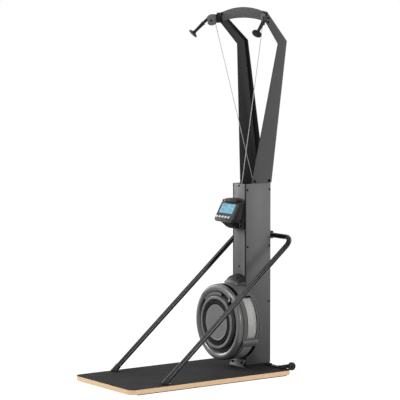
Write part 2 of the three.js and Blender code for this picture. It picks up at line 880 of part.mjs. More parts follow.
function pulleyWheel() {
  const bore = pulleyPinRadius + clearance;
  const core = cordWrapRadius - cordDiameter / 2 - clearance;
  const profile = [
    [bore, -pulleyHalfWidth], [pulleyRadius, -pulleyHalfWidth], [pulleyRadius, -pulleyLipHalfWidth],
    [core, -pulleyGrooveHalfWidth], [core, pulleyGrooveHalfWidth],
    [pulleyRadius, pulleyLipHalfWidth], [pulleyRadius, pulleyHalfWidth], [bore, pulleyHalfWidth],
  ];
  return turned(profile, roundMedium)
    .applyMatrix4(frame(axisY, axisZ, axisX)).applyMatrix4(pulleyFrame);
}

// Bracket: a side leg against the housing's outer face, a slanting leg and a flange on the arm's end wall
function pulleyBracket() {
  const legInner = -housingHalfWidth - clearance - bracketThickness;
  const middle = legInner + bracketThickness / 2;
  const outline = bracketOutlineShares.map(([back, rise]) => [back * bracketBendBack, rise * bracketTop]);
  const sideLeg = prism(outline, bracketThickness).translate(0, 0, legInner).applyMatrix4(pulleyFrame);
  const bendPoint = fromPulley(vec(-bracketBendBack, 0, middle));
  const flangeY = armEndY - clearance - bracketThickness / 2;
  const low = pulleyZ + bracketBottomShare * bracketTop;
  const high = pulleyZ + bracketTop;
  const places = [bendPoint, vec(bracketFlangeOuterX, flangeY, 0), vec(bracketFlangeInnerX, flangeY, 0)];
  const legs = places.slice(1).map((place, i) =>
    uprightStrip(places[i], place, bracketThickness, low, high));
  return join(sideLeg, ...legs);
}

// An upright plate between two places in plan, with rounded ends
function uprightStrip(from, to, thickness, low, high) {
  const along = vec(to.x - from.x, to.y - from.y, 0);
  const length = along.length();
  along.normalize();
  const across = axisZ.clone().cross(along);
  const plate = box(vec(0, -thickness / 2, low), vec(length, thickness / 2, high))
    .applyMatrix4(frame(along, across, axisZ, vec(from.x, from.y, 0)));
  const ends = [from, to].map((place) =>
    rod(vec(place.x, place.y, low), vec(place.x, place.y, high), thickness / 2, cordSides));
  return join(plate, ...ends);
}

addPair('pulley_housing', pulleyHousing(), coatedSteel);
addPair('pulley_cap', pulleyCap(), coatedSteel);
addPair('top_pulley', pulleyWheel(), blackPlastic);
addPair('pulley_bracket', pulleyBracket(), darkSteel);

// Pull handles: a tapering grip and a flared end flange with a spigot inside the grip

const gripStart = noseBallRadius + clearance;
const gripEnd = gripStart + gripLength;
const handleStart = gripEnd + clearance;

// Profiles are turned about the handle's line, with the first coordinate across and the second along it
function onHandleLine(profile) {
  const line = frame(handleAcross, handleAlong, handleAcross.clone().cross(handleAlong), noseBall);
  return turnedFull(profile, roundMedium).applyMatrix4(line);
}

function handleGrip() {
  const waistStart = gripStart + gripCollarLength + gripCollarTaper;
  return onHandleLine([
    [0, gripStart], [gripCollarRadius, gripStart], [gripCollarRadius, gripStart + gripCollarLength],
    [gripWaistRadius, waistStart], [gripWaistRadius, gripEnd - gripBoreLength], [gripEndRadius, gripEnd],
    [gripBoreRadius, gripEnd], [gripBoreRadius, gripEnd - gripBoreLength], [0, gripEnd - gripBoreLength],
  ]);
}

function handleFlange() {
  const spigot = gripBoreRadius - clearance;
  const spigotEnd = gripEnd - gripBoreLength + clearance;
  const flare = handleFlareShares.map(([wide, far]) =>
    [wide * handleFlangeRadius, handleStart + far * handleFlangeLength]);
  const end = handleStart + handleFlangeLength;
  return onHandleLine([
    [0, spigotEnd], [spigot, spigotEnd], [spigot, handleStart], ...flare,
    [handleFlangeRadius, end - handleFlangeThickness / 2],
    [handleFlangeRadius - handleFlangeThickness / 2, end], [0, end],
  ]);
}

addPair('handle_grip', handleGrip(), rubber);
addPair('handle_flange', handleFlange(), blackPlastic);

// Pull cords: from the grip over the top pulley, down into the column and on to the drum

const guideMiddleZ = mastTop - guideDrop - guideThickness / 2;

function pullCord(side, columnY) {
  const wrapFrom = Math.PI / 2 - pullAngle;
  const wrap = arc(0, 0, cordWrapRadius, wrapFrom, Math.PI, roundSmall).map(([x, y]) => vec(x, y, 0));
  const places = [onHandle(noseBallRadius), noseBall, ...[...wrap, cordTurn].map(fromPulley)];
  const down = places.map((place) => vec(place.x * side, place.y, place.z));
  const drumEnd = vec(cordWrapRadius, columnY, fanZ);
  return tube([...down, vec(0, columnY, guideMiddleZ), drumEnd], cordDiameter / 2, cordSides);
}

add('pull_cord_right', pullCord(1, rightCordY), cordMaterial);
add('pull_cord_left', pullCord(-1, leftCordY), cordMaterial);

function cordGuide() {
  const halfWidth = mastHalfWidth - mastWall - clearance;
  const front = mastFront + mastWall + clearance;
  const low = guideMiddleZ - guideThickness / 2;
  const plate = box(vec(-halfWidth, front, low), vec(halfWidth, guideRear, low + guideThickness));
  const holes = [rightCordY, leftCordY].map((y) =>
    rod(vec(0, y, low - overrun), vec(0, y, low + guideThickness + overrun), guideHoleRadius, roundSmall));
  return cut(plate, ...holes);
}

add('cord_guide', cordGuide(), blackPlastic);

// Brace: two sloping legs joined by a run behind the column, with clamp and feet

const legDown = vec(0, -Math.cos(braceSlope), -Math.sin(braceSlope));
const braceEndZ = matTop + 2 * clearance + braceFootThickness + braceRadius * Math.cos(braceSlope);
const braceEndY = braceTopY - (braceTopZ - braceEndZ) / Math.tan(braceSlope);

function braceTube() {
  const corner = (side) => vec(side * braceX, braceTopY, braceTopZ);
  const end = (side) => vec(side * braceX, braceEndY, braceEndZ);
  const steps = cornerSteps + 2;
  const places = [
    end(-1), ...bend(end(-1), corner(-1), corner(1), braceBendRadius, steps),
    ...bend(corner(-1), corner(1), end(1), braceBendRadius, steps), end(1),
  ];
  return tube(places, braceRadius, roundSmall);
}

function braceFoot() {
  const low = matTop + clearance;
  const boreRadius = braceRadius + clearance;
  const onLeg = (down) => vec(braceX, braceEndY, braceEndZ).addScaledVector(legDown, down);
  const sleeve = rod(
    onLeg(braceFootRadius), onLeg(-braceSleeveLength), boreRadius + braceSleeveWall, roundMedium);
  const bore = rod(onLeg(clearance), onLeg(-braceSleeveLength - overrun), boreRadius, roundMedium);
  const atFoot = (z) => vec(braceX, braceEndY, z);
  const plate = rod(atFoot(low), atFoot(low + braceFootThickness), braceFootRadius, roundMedium);
  const reach = 2 * braceFootRadius;
  const ground = box(
    vec(braceX - reach, braceEndY - reach, low - reach),
    vec(braceX + reach, braceEndY + reach, low));
  return cut(join(sleeve, plate), bore, ground);
}

function braceClamp() {
  const front = columnRear + clearance;
  const rear = braceTopY + braceRadius + clearance + braceClampWall;
  const halfHeight = braceClampHeight / 2;
  const block = box(
    vec(-braceClampHalfWidth, front, braceTopZ - halfHeight),
    vec(braceClampHalfWidth, rear, braceTopZ + halfHeight));
  const boreEnd = braceClampHalfWidth + overrun;
  const bore = rod(
    vec(-boreEnd, braceTopY, braceTopZ), vec(boreEnd, braceTopY, braceTopZ),
    braceRadius + clearance, roundMedium);
  return cut(block, bore);
}

add('brace_tube', braceTube(), darkSteel);
addPair('brace_foot', braceFoot(), darkSteel);
add('brace_clamp', braceClamp(), darkSteel);

// Fan casing, all turned about the flywheel's axis

function onFanAxis(geometry) {
  return geometry.translate(0, 0, fanZ);
}

// A part of a ring between two angles from +X, extruded along Y
function ringPart(inner, outer, from, to, front, rear) {
  const outside = arc(0, fanZ, outer, from, to, roundSmall);
  const inside = arc(0, fanZ, inner, to, from, roundSmall);
  return facing([...outside, ...inside], front, rear);
}

function fanRearShell() {
  const inner = fanRadius - fanWall;
  const bore = bearingRadius + clearance;
  const hubEnd = columnFront - clearance;
  const rimFront = fanShellRear - fanRimWidth;
  const drum = onFanAxis(turned([
    [bore, fanShellRear - fanBackWall], [inner, fanShellRear - fanBackWall], [inner, fanShellFront],
    [fanRadius, fanShellFront], [fanRadius, rimFront], [fanRimRadius, rimFront],
    [fanRimRadius, fanShellRear], [fanHubFlangeRadius, fanShellRear],
    [fanHubFlangeRadius, hubEnd], [bore, hubEnd],
  ], roundFine));
  const block = box(
    vec(fanRadius - fanClampSink, fanClampFront, -fanClampWidth / 2),
    vec(fanRadius + fanClampHeight, fanClampRear, fanClampWidth / 2)).rotateY(-fanClampAngle);
  const clamp = onFanAxis(block);
  const window = ringPart(
    inner - overrun, fanRadius + overrun, fanWindowLow, fanWindowHigh, fanWindowFront, fanWindowRear);
  return cut(join(drum, clamp, mirrored(clamp)), window, mirrored(window));
}

function meshBand() {
  const outer = apothem(fanRadius - fanWall, roundFine) - clearance;
  const lap = fanMeshLap / outer;
  return ringPart(
    outer - fanMeshThickness, outer, fanWindowLow - lap, fanWindowHigh + lap,
    fanWindowFront - fanMeshLap, fanWindowRear + fanMeshLap);
}

// Bulge, groove and bevel of the front ring, as the skin's outer line and the line behind it
function fanFrontRing() {
  const rear = fanShellFront - clearance;
  const bulgeMiddle = (fanGrooveOuterRadius + fanRadius) / 2;
  const bulgeHalf = (fanRadius - fanGrooveOuterRadius) / 2;
  const bulge = (radius, depth, from, to) => arc(0, 0, 1, from, to, cornerSteps).map(([x, y]) =>
    [bulgeMiddle + radius * x, fanGrooveFloor - depth * y]);
  const bulgeDepth = fanGrooveFloor - fanBulgeFront;
  const outline = [
    [fanRadius, rear], ...bulge(bulgeHalf, bulgeDepth, 0, Math.PI),
    [fanGrooveInnerRadius, fanGrooveFloor], [fanGrooveInnerRadius - fanSkin, fanBevelFront + fanSkin],
    [fanGrooveInnerRadius - 2 * fanSkin, fanBevelFront], [fanBevelInnerRadius, fanBevelFront],
    [fanBevelInnerRadius, fanBevelFront + fanSkin + ventBarDepth],
    [fanGrooveInnerRadius - 3 * fanSkin, fanBevelFront + fanSkin + ventBarDepth],
    [fanGrooveInnerRadius - fanSkin, fanGrooveFloor + fanSkin],
    [fanGrooveOuterRadius + fanSkin, fanGrooveFloor + fanSkin],
    ...bulge(bulgeHalf - fanSkin, bulgeDepth - fanSkin, Math.PI, 0), [fanRadius - fanSkin, rear],
  ];
  return onFanAxis(turned(outline, roundFine));
}

function ventRing() {
  const outer = fanBevelInnerRadius - clearance;
  const bars = Array.from({ length: ventBarCount }, (_, i) => {
    const radius = outer - i * ventPitch;
    return turned([
      [radius, ventFront], [radius, ventFront + ventBarDepth],
      [radius - ventBarWidth, ventFront + ventBarDepth], [radius - ventBarWidth, ventFront],
    ], roundFine);
  });
  const inner = outer - (ventBarCount - 1) * ventPitch - ventBarWidth;
  const spokeInset = ventBarWidth / 2;
  const spokes = Array.from({ length: ventSpokeCount }, (_, i) => box(
    vec(inner + spokeInset, ventFront + ventBarDepth / 2, -ventSpokeWidth / 2),
    vec(outer - spokeInset, ventFront + ventBarDepth / 2 + ventSpokeDepth, ventSpokeWidth / 2))
    .rotateY(2 * Math.PI * i / ventSpokeCount));
  return onFanAxis(join(...bars, ...spokes));
}

function centreDisc() {
  const radius = fanBevelInnerRadius - (ventBarCount - 1) * ventPitch - ventBarWidth - 2 * clearance;
  const rear = ventFront + centreDiscThickness;
  return onFanAxis(turnedFull([[0, ventFront], [radius, ventFront], [radius, rear], [0, rear]], roundFine));
}

function damperRing() {
  const rear = fanGrooveFloor - clearance;
  const inner = fanGrooveInnerRadius + 2 * clearance;
  const outer = fanGrooveOuterRadius - fanSkin;
  const band = turned([
    [inner, rear], [outer, rear], [outer, rear - damperThickness], [inner, rear - damperThickness],
  ], roundFine);
  const leverRear = fanBulgeFront - clearance * 2;
  const leverFront = leverRear - damperLeverThickness;
  const halfWidth = damperLeverWidth / 2;
  const root = vec(inner + fanSkin, leverFront, -halfWidth);
  const stub = box(root, vec(damperStubOuterRadius, rear - damperThickness / 2, halfWidth));
  const lever = box(root, vec(damperLeverTip, leverRear, halfWidth));
  return onFanAxis(join(band, stub.rotateY(-damperAngle), lever.rotateY(-damperAngle)));
}

add('fan_rear_shell', fanRearShell(), shellPlastic);
addPair('mesh_band', meshBand(), meshMetal);
add('fan_front_ring', fanFrontRing(), shellPlastic);
add('vent_ring', ventRing(), blackPlastic);
add('centre_disc', centreDisc(), shellPlastic);
add('damper_ring', damperRing(), blackPlastic);

// Flywheel with blades, its shaft, bearings and cord drums

function flywheelFan() {
  const bore = shaftRadius + clearance;
  const discRear = flywheelDiscFront + flywheelDiscThickness;
  const rimRear = flywheelDiscFront + flywheelRimDepth;
  const rimInner = flywheelRadius - flywheelRimWidth;
  const disc = turned([
    [bore, flywheelHubFront], [flywheelHubRadius, flywheelHubFront], [flywheelHubRadius, flywheelDiscFront],
    [flywheelRadius, flywheelDiscFront], [flywheelRadius, rimRear], [rimInner, rimRear],
    [rimInner, discRear], [flywheelHubRadius, discRear],
    [flywheelHubRadius, flywheelHubRear], [bore, flywheelHubRear],
  ], roundFine);
  const blades = Array.from({ length: bladeCount }, (_, i) => box(
    vec(bladeInnerRadius, bladeFront, -bladeThickness / 2),
    vec(bladeOuterRadius, flywheelDiscFront + bladeSink, bladeThickness / 2))
    .rotateY(2 * Math.PI * i / bladeCount));
  return onFanAxis(join(disc, ...blades));
}

function shaft() {
  return rod(vec(0, shaftFront, fanZ), vec(0, shaftRear, fanZ), shaftRadius, roundMedium);
}

function bearing(front) {
  const bore = shaftRadius + clearance;
  const rear = front + bearingWidth;
  return onFanAxis(turned(
    [[bore, front], [bearingRadius, front], [bearingRadius, rear], [bore, rear]], roundMedium));
}

function cordDrum(middleY) {
  const bore = shaftRadius + clearance;
  const core = cordWrapRadius - cordDiameter / 2 - clearance;
  const front = middleY - drumWidth / 2;
  const rear = middleY + drumWidth / 2;
  return onFanAxis(turned([
    [bore, front], [drumFlangeRadius, front], [drumFlangeRadius, front + drumFlangeThickness],
    [core, front + drumFlangeThickness], [core, rear - drumFlangeThickness],
    [drumFlangeRadius, rear - drumFlangeThickness], [drumFlangeRadius, rear], [bore, rear],
  ], roundMedium));
}

const frontBearingY = fanShellRear - fanBackWall;
const rearBearingY = bearingPlateY + bearingPlateThickness / 2 - bearingWidth / 2;
add('flywheel_fan', flywheelFan(), bareSteel);
add('flywheel_shaft', shaft(), bareSteel);
add('shaft_bearing_front', bearing(frontBearingY - clearance), bareSteel);
add('shaft_bearing_rear', bearing(rearBearingY), bareSteel);
add('cord_drum_right', cordDrum(rightCordY), blackPlastic);
add('cord_drum_left', cordDrum(leftCordY), blackPlastic);

// Hood: a crowned dome between the column's front and the top of the fan casing

function hood() {
  const halfWidth = columnWidth / 2;
  const crownRadius = (halfWidth * halfWidth + hoodCrown * hoodCrown) / (2 * hoodCrown);
  const reach = Math.asin(halfWidth / crownRadius);
  const section = (y, drop) => [
    ...arc(0, hoodRearZ + hoodCrown - crownRadius - drop, crownRadius,
      Math.PI / 2 - reach, Math.PI / 2 + reach, cornerSteps),
    [-halfWidth, hoodFloorZ - drop], [halfWidth, hoodFloorZ - drop],
  ].map(([x, z]) => vec(x, y, z));
  const rear = columnFront - clearance;
  const dome = loft(Array.from({ length: hoodSteps + 1 }, (_, i) => {
    const turn = Math.PI / 2 * i / hoodSteps;
    return section(rear - (rear - hoodFront) * Math.sin(turn), hoodSlopeDrop * (1 - Math.cos(turn)));
  }));
  const drum = rod(
    vec(0, hoodFront - overrun, fanZ), vec(0, columnFront + overrun, fanZ),
    fanRimRadius + clearance, roundFine);
  return cut(dome, drum);
}

add('hood', hood(), shellPlastic);

// Console: the frame of its face has X to the right, Y up the face and Z out of it

const faceUp = vec(0, Math.sin(consoleTilt), Math.cos(consoleTilt));
const faceOut = vec(0, -Math.cos(consoleTilt), Math.sin(consoleTilt));
const faceFrame = frame(axisX, faceUp, faceOut, vec(0, consoleY, consoleZ));

// A rounded plate in the face's frame, between two depths behind the face
function facePlate(width, height, radius, centreX, centreUp, from, to) {
  return prism(roundedRectangle(width, height, radius, centreX, centreUp), to - from)
    .translate(0, 0, from).applyMatrix4(faceFrame);
}

function buttonPlate(i, spare, from, to) {
  const x = buttonRowX + (i - (buttonCount - 1) / 2) * buttonPitch;
  const radius = buttonCornerRadius - spare / 2;
  return facePlate(buttonWidth - spare, buttonHeight - spare, radius, x, buttonRowUp, from, to);
}

const buttonNumbers = Array.from({ length: buttonCount }, (_, i) => i);

function consoleFrontShell() {
  const plate = facePlate(consoleWidth, consoleHeight, consoleCornerRadius, 0, 0, -consoleFaceDepth, 0);
  const pocket = facePlate(
    screenWidth, screenHeight, screenCornerRadius, screenOffsetX, screenOffsetUp,
    -screenSink - screenThickness - clearance, overrun);
  const holes = buttonNumbers.map((i) => buttonPlate(i, 0, -consoleFaceDepth - overrun, overrun));
  return cut(plate, pocket, ...holes);
}

function consoleScreen() {
  return facePlate(
    screenWidth - 2 * clearance, screenHeight - 2 * clearance, screenCornerRadius - clearance,
    screenOffsetX, screenOffsetUp, -screenSink - screenThickness, -screenSink);
}

// A rounded section of the rear shell, tilted back about X
function shellSection(y, z, tilt, halfWidth, halfHeight) {
  const tiltedUp = vec(0, Math.sin(tilt), Math.cos(tilt));
  const place = frame(axisX, tiltedUp, axisX.clone().cross(tiltedUp), vec(0, y, z));
  return roundedRectangle(2 * halfWidth, 2 * halfHeight, consoleCornerRadius)
    .map(([x, up]) => vec(x, up, 0).applyMatrix4(place));
}

// The rear shell's outer form, or its hollow when an inset is given
function rearShellForm(inset, forward) {
  const start = vec(0, 0, -consoleFaceDepth - clearance + forward).applyMatrix4(faceFrame);
  return loft([
    shellSection(start.y, start.z, consoleTilt,
      consoleWidth / 2 - consoleShellInset - inset, consoleHeight / 2 - consoleShellInset - inset),
    shellSection(consoleWaistY, consoleWaistZ, consoleWaistTilt,
      consoleWaistHalfWidth - inset, consoleWaistHalfHeight - inset),
    shellSection(consoleTailY - inset, consoleTailZ, consoleTailTilt,
      consoleTailHalfWidth - inset, consoleTailHalfHeight - inset),
  ]);
}

const hingeLine = (reach) => [vec(-reach, hingeY, hingeZ), vec(reach, hingeY, hingeZ)];

function consoleRearShell() {
  const shell = cut(rearShellForm(0, 0), rearShellForm(consoleShellWall, overrun));
  const neck = box(
    vec(-hingeNeckHalfWidth, hingeY - hingeNeckHalfDepth, hingeZ),
    vec(hingeNeckHalfWidth, hingeY + hingeNeckHalfDepth, hingeZ + hingeNeckRise));
  const eye = rod(...hingeLine(hingeNeckHalfWidth), hingeEyeRadius, roundMedium);
  const bore = rod(...hingeLine(hingeNeckHalfWidth + overrun), hingePinRadius + clearance, roundMedium);
  return cut(join(shell, neck, eye), bore);
}

// The cradle on the column that carries the console's hinge
function consoleCradle() {
  const rear = columnFront - clearance;
  const corner = cradleCornerRadius;
  const outline = [
    [rear, cradleLowZ], [rear, cradleHighZ], [cradleFront, cradleHighZ],
    ...arc(cradleFront + corner, cradleLowZ + corner, corner, Math.PI, Math.PI * 3 / 2, cornerSteps),
  ];
  const slotHalfWidth = hingeNeckHalfWidth + clearance;
  const slot = box(
    vec(-slotHalfWidth, cradleFront + cradleWall, hingeZ - hingeEyeRadius - clearance),
    vec(slotHalfWidth, rear - cradleWall, cradleHighZ + overrun));
  const bore = rod(...hingeLine(cradleHalfWidth + overrun), hingePinRadius + clearance, roundMedium);
  return cut(sideways(outline, -cradleHalfWidth, cradleHalfWidth), slot, bore);
}

add('console_front_shell', consoleFrontShell(), blackPlastic);
add('console_screen', consoleScreen(), screenMaterial);
buttonNumbers.forEach((i) =>
  add(`console_button_${i + 1}`, buttonPlate(i, 2 * clearance, -buttonDepth, buttonProud), buttonMaterial));
add('console_rear_shell', consoleRearShell(), blackPlastic);
add('console_hinge_pin', rod(...hingeLine(cradleHalfWidth), hingePinRadius, roundMedium), bareSteel);
add('console_cradle', consoleCradle(), blackPlastic);

export default model;
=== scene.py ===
"""The looks of a standing ski trainer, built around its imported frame.

Lengths are metres. The origin lies on the floor below the middle of the platform, +Z is up,
+Y is the way the user faces and +X is the user's right.
"""
import math

import bmesh
import bpy
from mathutils import Matrix, Vector

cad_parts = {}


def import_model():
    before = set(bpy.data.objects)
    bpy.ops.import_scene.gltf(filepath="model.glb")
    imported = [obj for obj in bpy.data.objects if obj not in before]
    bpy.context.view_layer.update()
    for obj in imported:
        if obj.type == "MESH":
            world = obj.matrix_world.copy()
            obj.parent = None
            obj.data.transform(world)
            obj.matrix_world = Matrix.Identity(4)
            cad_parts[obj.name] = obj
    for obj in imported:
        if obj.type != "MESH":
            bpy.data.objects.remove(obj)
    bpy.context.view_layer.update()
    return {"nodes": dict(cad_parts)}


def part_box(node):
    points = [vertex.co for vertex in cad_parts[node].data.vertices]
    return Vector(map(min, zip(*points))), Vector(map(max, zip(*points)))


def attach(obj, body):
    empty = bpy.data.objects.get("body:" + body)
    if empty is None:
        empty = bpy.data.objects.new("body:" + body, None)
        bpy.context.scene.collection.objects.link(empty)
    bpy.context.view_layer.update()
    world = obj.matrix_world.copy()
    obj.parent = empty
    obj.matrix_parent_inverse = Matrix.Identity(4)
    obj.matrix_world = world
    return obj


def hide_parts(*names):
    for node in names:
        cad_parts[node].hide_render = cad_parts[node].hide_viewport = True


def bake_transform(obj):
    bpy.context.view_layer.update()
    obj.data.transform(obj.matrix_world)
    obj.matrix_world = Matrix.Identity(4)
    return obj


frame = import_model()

nodes = frame["nodes"]

X = Vector((1, 0, 0))
Y = Vector((0, 1, 0))
Z = Vector((0, 0, 1))
SIDES = ((1, "right"), (-1, "left"))
TURN = 2 * math.pi
FIT = 0.0003
MERGE = 1e-6
SHARP_ANGLE = math.radians(35)
BEVEL_ANGLE = math.radians(30)


# Shapes are pairs of points and faces

def vec(x, y, z):
    return Vector((x, y, z))


def arc(centre_x, centre_y, radius, start, end, steps):
    turns = [start + (end - start) * i / steps for i in range(steps + 1)]
    return [(centre_x + radius * math.cos(turn), centre_y + radius * math.sin(turn)) for turn in turns]


def circle(centre_x, centre_y, radius, steps):
    return arc(centre_x, centre_y, radius, 0, TURN, steps)[:-1]


def rounded_rectangle(width, height, radius, centre_x=0, centre_y=0, steps=12):
    x, y = width / 2 - radius, height / 2 - radius
    outline = []
    for i, (across, along) in enumerate(((x, y), (-x, y), (-x, -y), (x, -y))):
        outline += arc(centre_x + across, centre_y + along, radius, i * TURN / 4, (i + 1) * TURN / 4, steps)
    return outline


def basis(across, along, out, place=(0, 0, 0)):
    made = Matrix((across, along, out)).transposed().to_4x4()
    made.translation = Vector(place)
    return made


def facing(place, out):
    """A place whose Z axis points out, with its Y axis as near up as it can be."""
    out = Vector(out).normalized()
    across = Z.cross(out)
    if across.length < MERGE:
        across = X.copy()
    across.normalize()
    return basis(across, out.cross(across), out, place)


def moved(shape, matrix):
    points, faces = shape
    return [matrix @ Vector(point) for point in points], faces


def joined(*shapes):
    points, faces = [], []
    for more_points, more_faces in shapes:
        start = len(points)
        points.extend(more_points)
        faces.extend(tuple(i + start for i in face) for face in more_faces)
    return points, faces


def sided(shape, side):
    """The shape as made for the right side, or its mirror for the left."""
    points, faces = shape
    return [vec(side * p[0], p[1], p[2]) for p in points], faces


def prism(outline, depth, matrix):
    count = len(outline)
    points = [vec(x, y, z) for z in (0, depth) for x, y in outline]
    faces = [tuple(range(count)), tuple(range(count, 2 * count))]
    faces += [(i, (i + 1) % count, count + (i + 1) % count, count + i) for i in range(count)]
    return moved((points, faces), matrix)


def box(low, high):
    outline = [(low[0], low[1]), (high[0], low[1]), (high[0], high[1]), (low[0], high[1])]
    return prism(outline, high[2] - low[2], Matrix.Translation((0, 0, low[2])))


def loft(rings, capped=True):
    """Closed rings of as many points each, joined in turn."""
    count = len(rings[0])
    points = [Vector(point) for ring in rings for point in ring]
    faces = []
    for start in range(0, count * (len(rings) - 1), count):
        corners = [(start + i, start + (i + 1) % count) for i in range(count)]
        faces += [(here, after, after + count, here + count) for here, after in corners]
    if capped:
        faces += [tuple(range(count)), tuple(range(len(points) - count, len(points)))]
    return points, faces


def turned(profile, sides, matrix, closed=True):
    """A profile of (radius, along) turned about the matrix's Z axis."""
    profile = list(profile) + ([profile[0]] if closed else [])
    rings = [[(x, y, along) for x, y in circle(0, 0, radius, sides)] for radius, along in profile]
    return moved(loft(rings, capped=False), matrix)


def sweep(route, radius, sides):
    """A tube along a route."""
    route = [Vector(point) for point in route]
    last = len(route) - 1
    normal = (route[1] - route[0]).orthogonal()
    rings = []
    for i, point in enumerate(route):
        ahead = (route[min(i + 1, last)] - route[max(i - 1, 0)]).normalized()
        normal = (normal - ahead * normal.dot(ahead)).normalized()
        side = ahead.cross(normal)
        rings.append([point + normal * x + side * y for x, y in circle(0, 0, radius, sides)])
    return loft(rings)


def bend(before, corner, after, radius, steps):
    """Points round a bend of that radius between two straight runs."""
    back = (before - corner).normalized()
    ahead = (after - corner).normalized()
    half = back.angle(ahead) / 2
    centre = corner + (back + ahead).normalized() * (radius / math.sin(half))
    start = corner + back * (radius / math.tan(half)) - centre
    end = corner + ahead * (radius / math.tan(half)) - centre
    axis = start.cross(end).normalized()
    return [centre + Matrix.Rotation((math.pi - 2 * half) * i / steps, 3, axis) @ start
            for i in range(steps + 1)]


def plate(outline, thickness, matrix, edge=0.0, holes=(), edge_steps=2):
    """A flat plate with rounded edges and holes, from Z 0 to its thickness in the matrix's place."""
    curve = bpy.data.curves.new("plate", "CURVE")
    curve.dimensions = "2D"
    curve.fill_mode = "BOTH"
    curve.extrude = thickness / 2 - edge
    curve.bevel_depth = edge
    curve.bevel_resolution = edge_steps
    curve.offset = -edge
    for loop in (outline, *holes):
        spline = curve.splines.new("POLY")
        spline.points.add(len(loop) - 1)
        for point, (x, y) in zip(spline.points, loop):
            point.co = (x, y, 0, 1)
        spline.use_cyclic_u = True
    holder = bpy.data.objects.new("plate", curve)
    bpy.context.scene.collection.objects.link(holder)
    made = bpy.data.meshes.new_from_object(holder.evaluated_get(bpy.context.evaluated_depsgraph_get()))
    points = [vertex.co.copy() for vertex in made.vertices]
    faces = [tuple(polygon.vertices) for polygon in made.polygons]
    bpy.data.objects.remove(holder)
    bpy.data.meshes.remove(made)
    return moved((points, faces), matrix @ Matrix.Translation((0, 0, thickness / 2)))


# Pieces

def soften(thing, width, steps):
    edges = thing.modifiers.new("edges", "BEVEL")
    edges.width = width
    edges.segments = steps
    edges.limit_method = "ANGLE"
    edges.angle_limit = BEVEL_ANGLE
    edges.harden_normals = True
    edges.use_clamp_overlap = True


def thicken(thing, thickness, offset):
    skin = thing.modifiers.new("skin", "SOLIDIFY")
    skin.thickness = thickness
    skin.offset = offset


def piece(name, shape, look, body="frame", stands_for=None, bevel=0.0, bevel_steps=2, sharp=SHARP_ANGLE):
    """One object of the shape, dressed in its look and riding on its body, if it has one."""
    material, slot = LOOKS[look]
    mesh = bpy.data.meshes.new(name)
    points, faces = shape
    mesh.from_pydata([tuple(point) for point in points], [], faces)
    clean = bmesh.new()
    clean.from_mesh(mesh)
    bmesh.ops.remove_doubles(clean, verts=clean.verts, dist=MERGE)
    bmesh.ops.recalc_face_normals(clean, faces=clean.faces)
    clean.to_mesh(mesh)
    clean.free()
    made = bpy.data.objects.new(name, mesh)
    bpy.context.scene.collection.objects.link(made)
    mesh.materials.append(material)
    mesh.shade_smooth()
    if bevel:
        soften(made, bevel, bevel_steps)
    else:
        mesh.set_sharp_from_angle(angle=sharp)
    if body:
        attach(made, body)
    if stands_for:
        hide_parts(stands_for)
    return made


def both(name, shape, look, body="frame", stands_for=None, **more):
    """The piece as made for the right side and its mirror, where {} in a name is the side."""
    return [piece(f"{name}_{hand}", sided(shape, side), look, body.format(hand),
                  stands_for and stands_for.format(hand), **more) for side, hand in SIDES]


def keep(name, look, bevel, steps):
    """A CAD node that shows as it is, with its look and softened edges."""
    node = nodes[name]
    material, slot = LOOKS[look]
    node.data.materials.clear()
    node.data.materials.append(material)
    if bevel:
        weld = node.modifiers.new("weld", "WELD")
        weld.merge_threshold = MERGE
        node.data.shade_smooth()
        soften(node, bevel, steps)


# Looks

NOISE_LOW = 0.3
NOISE_HIGH = 0.7


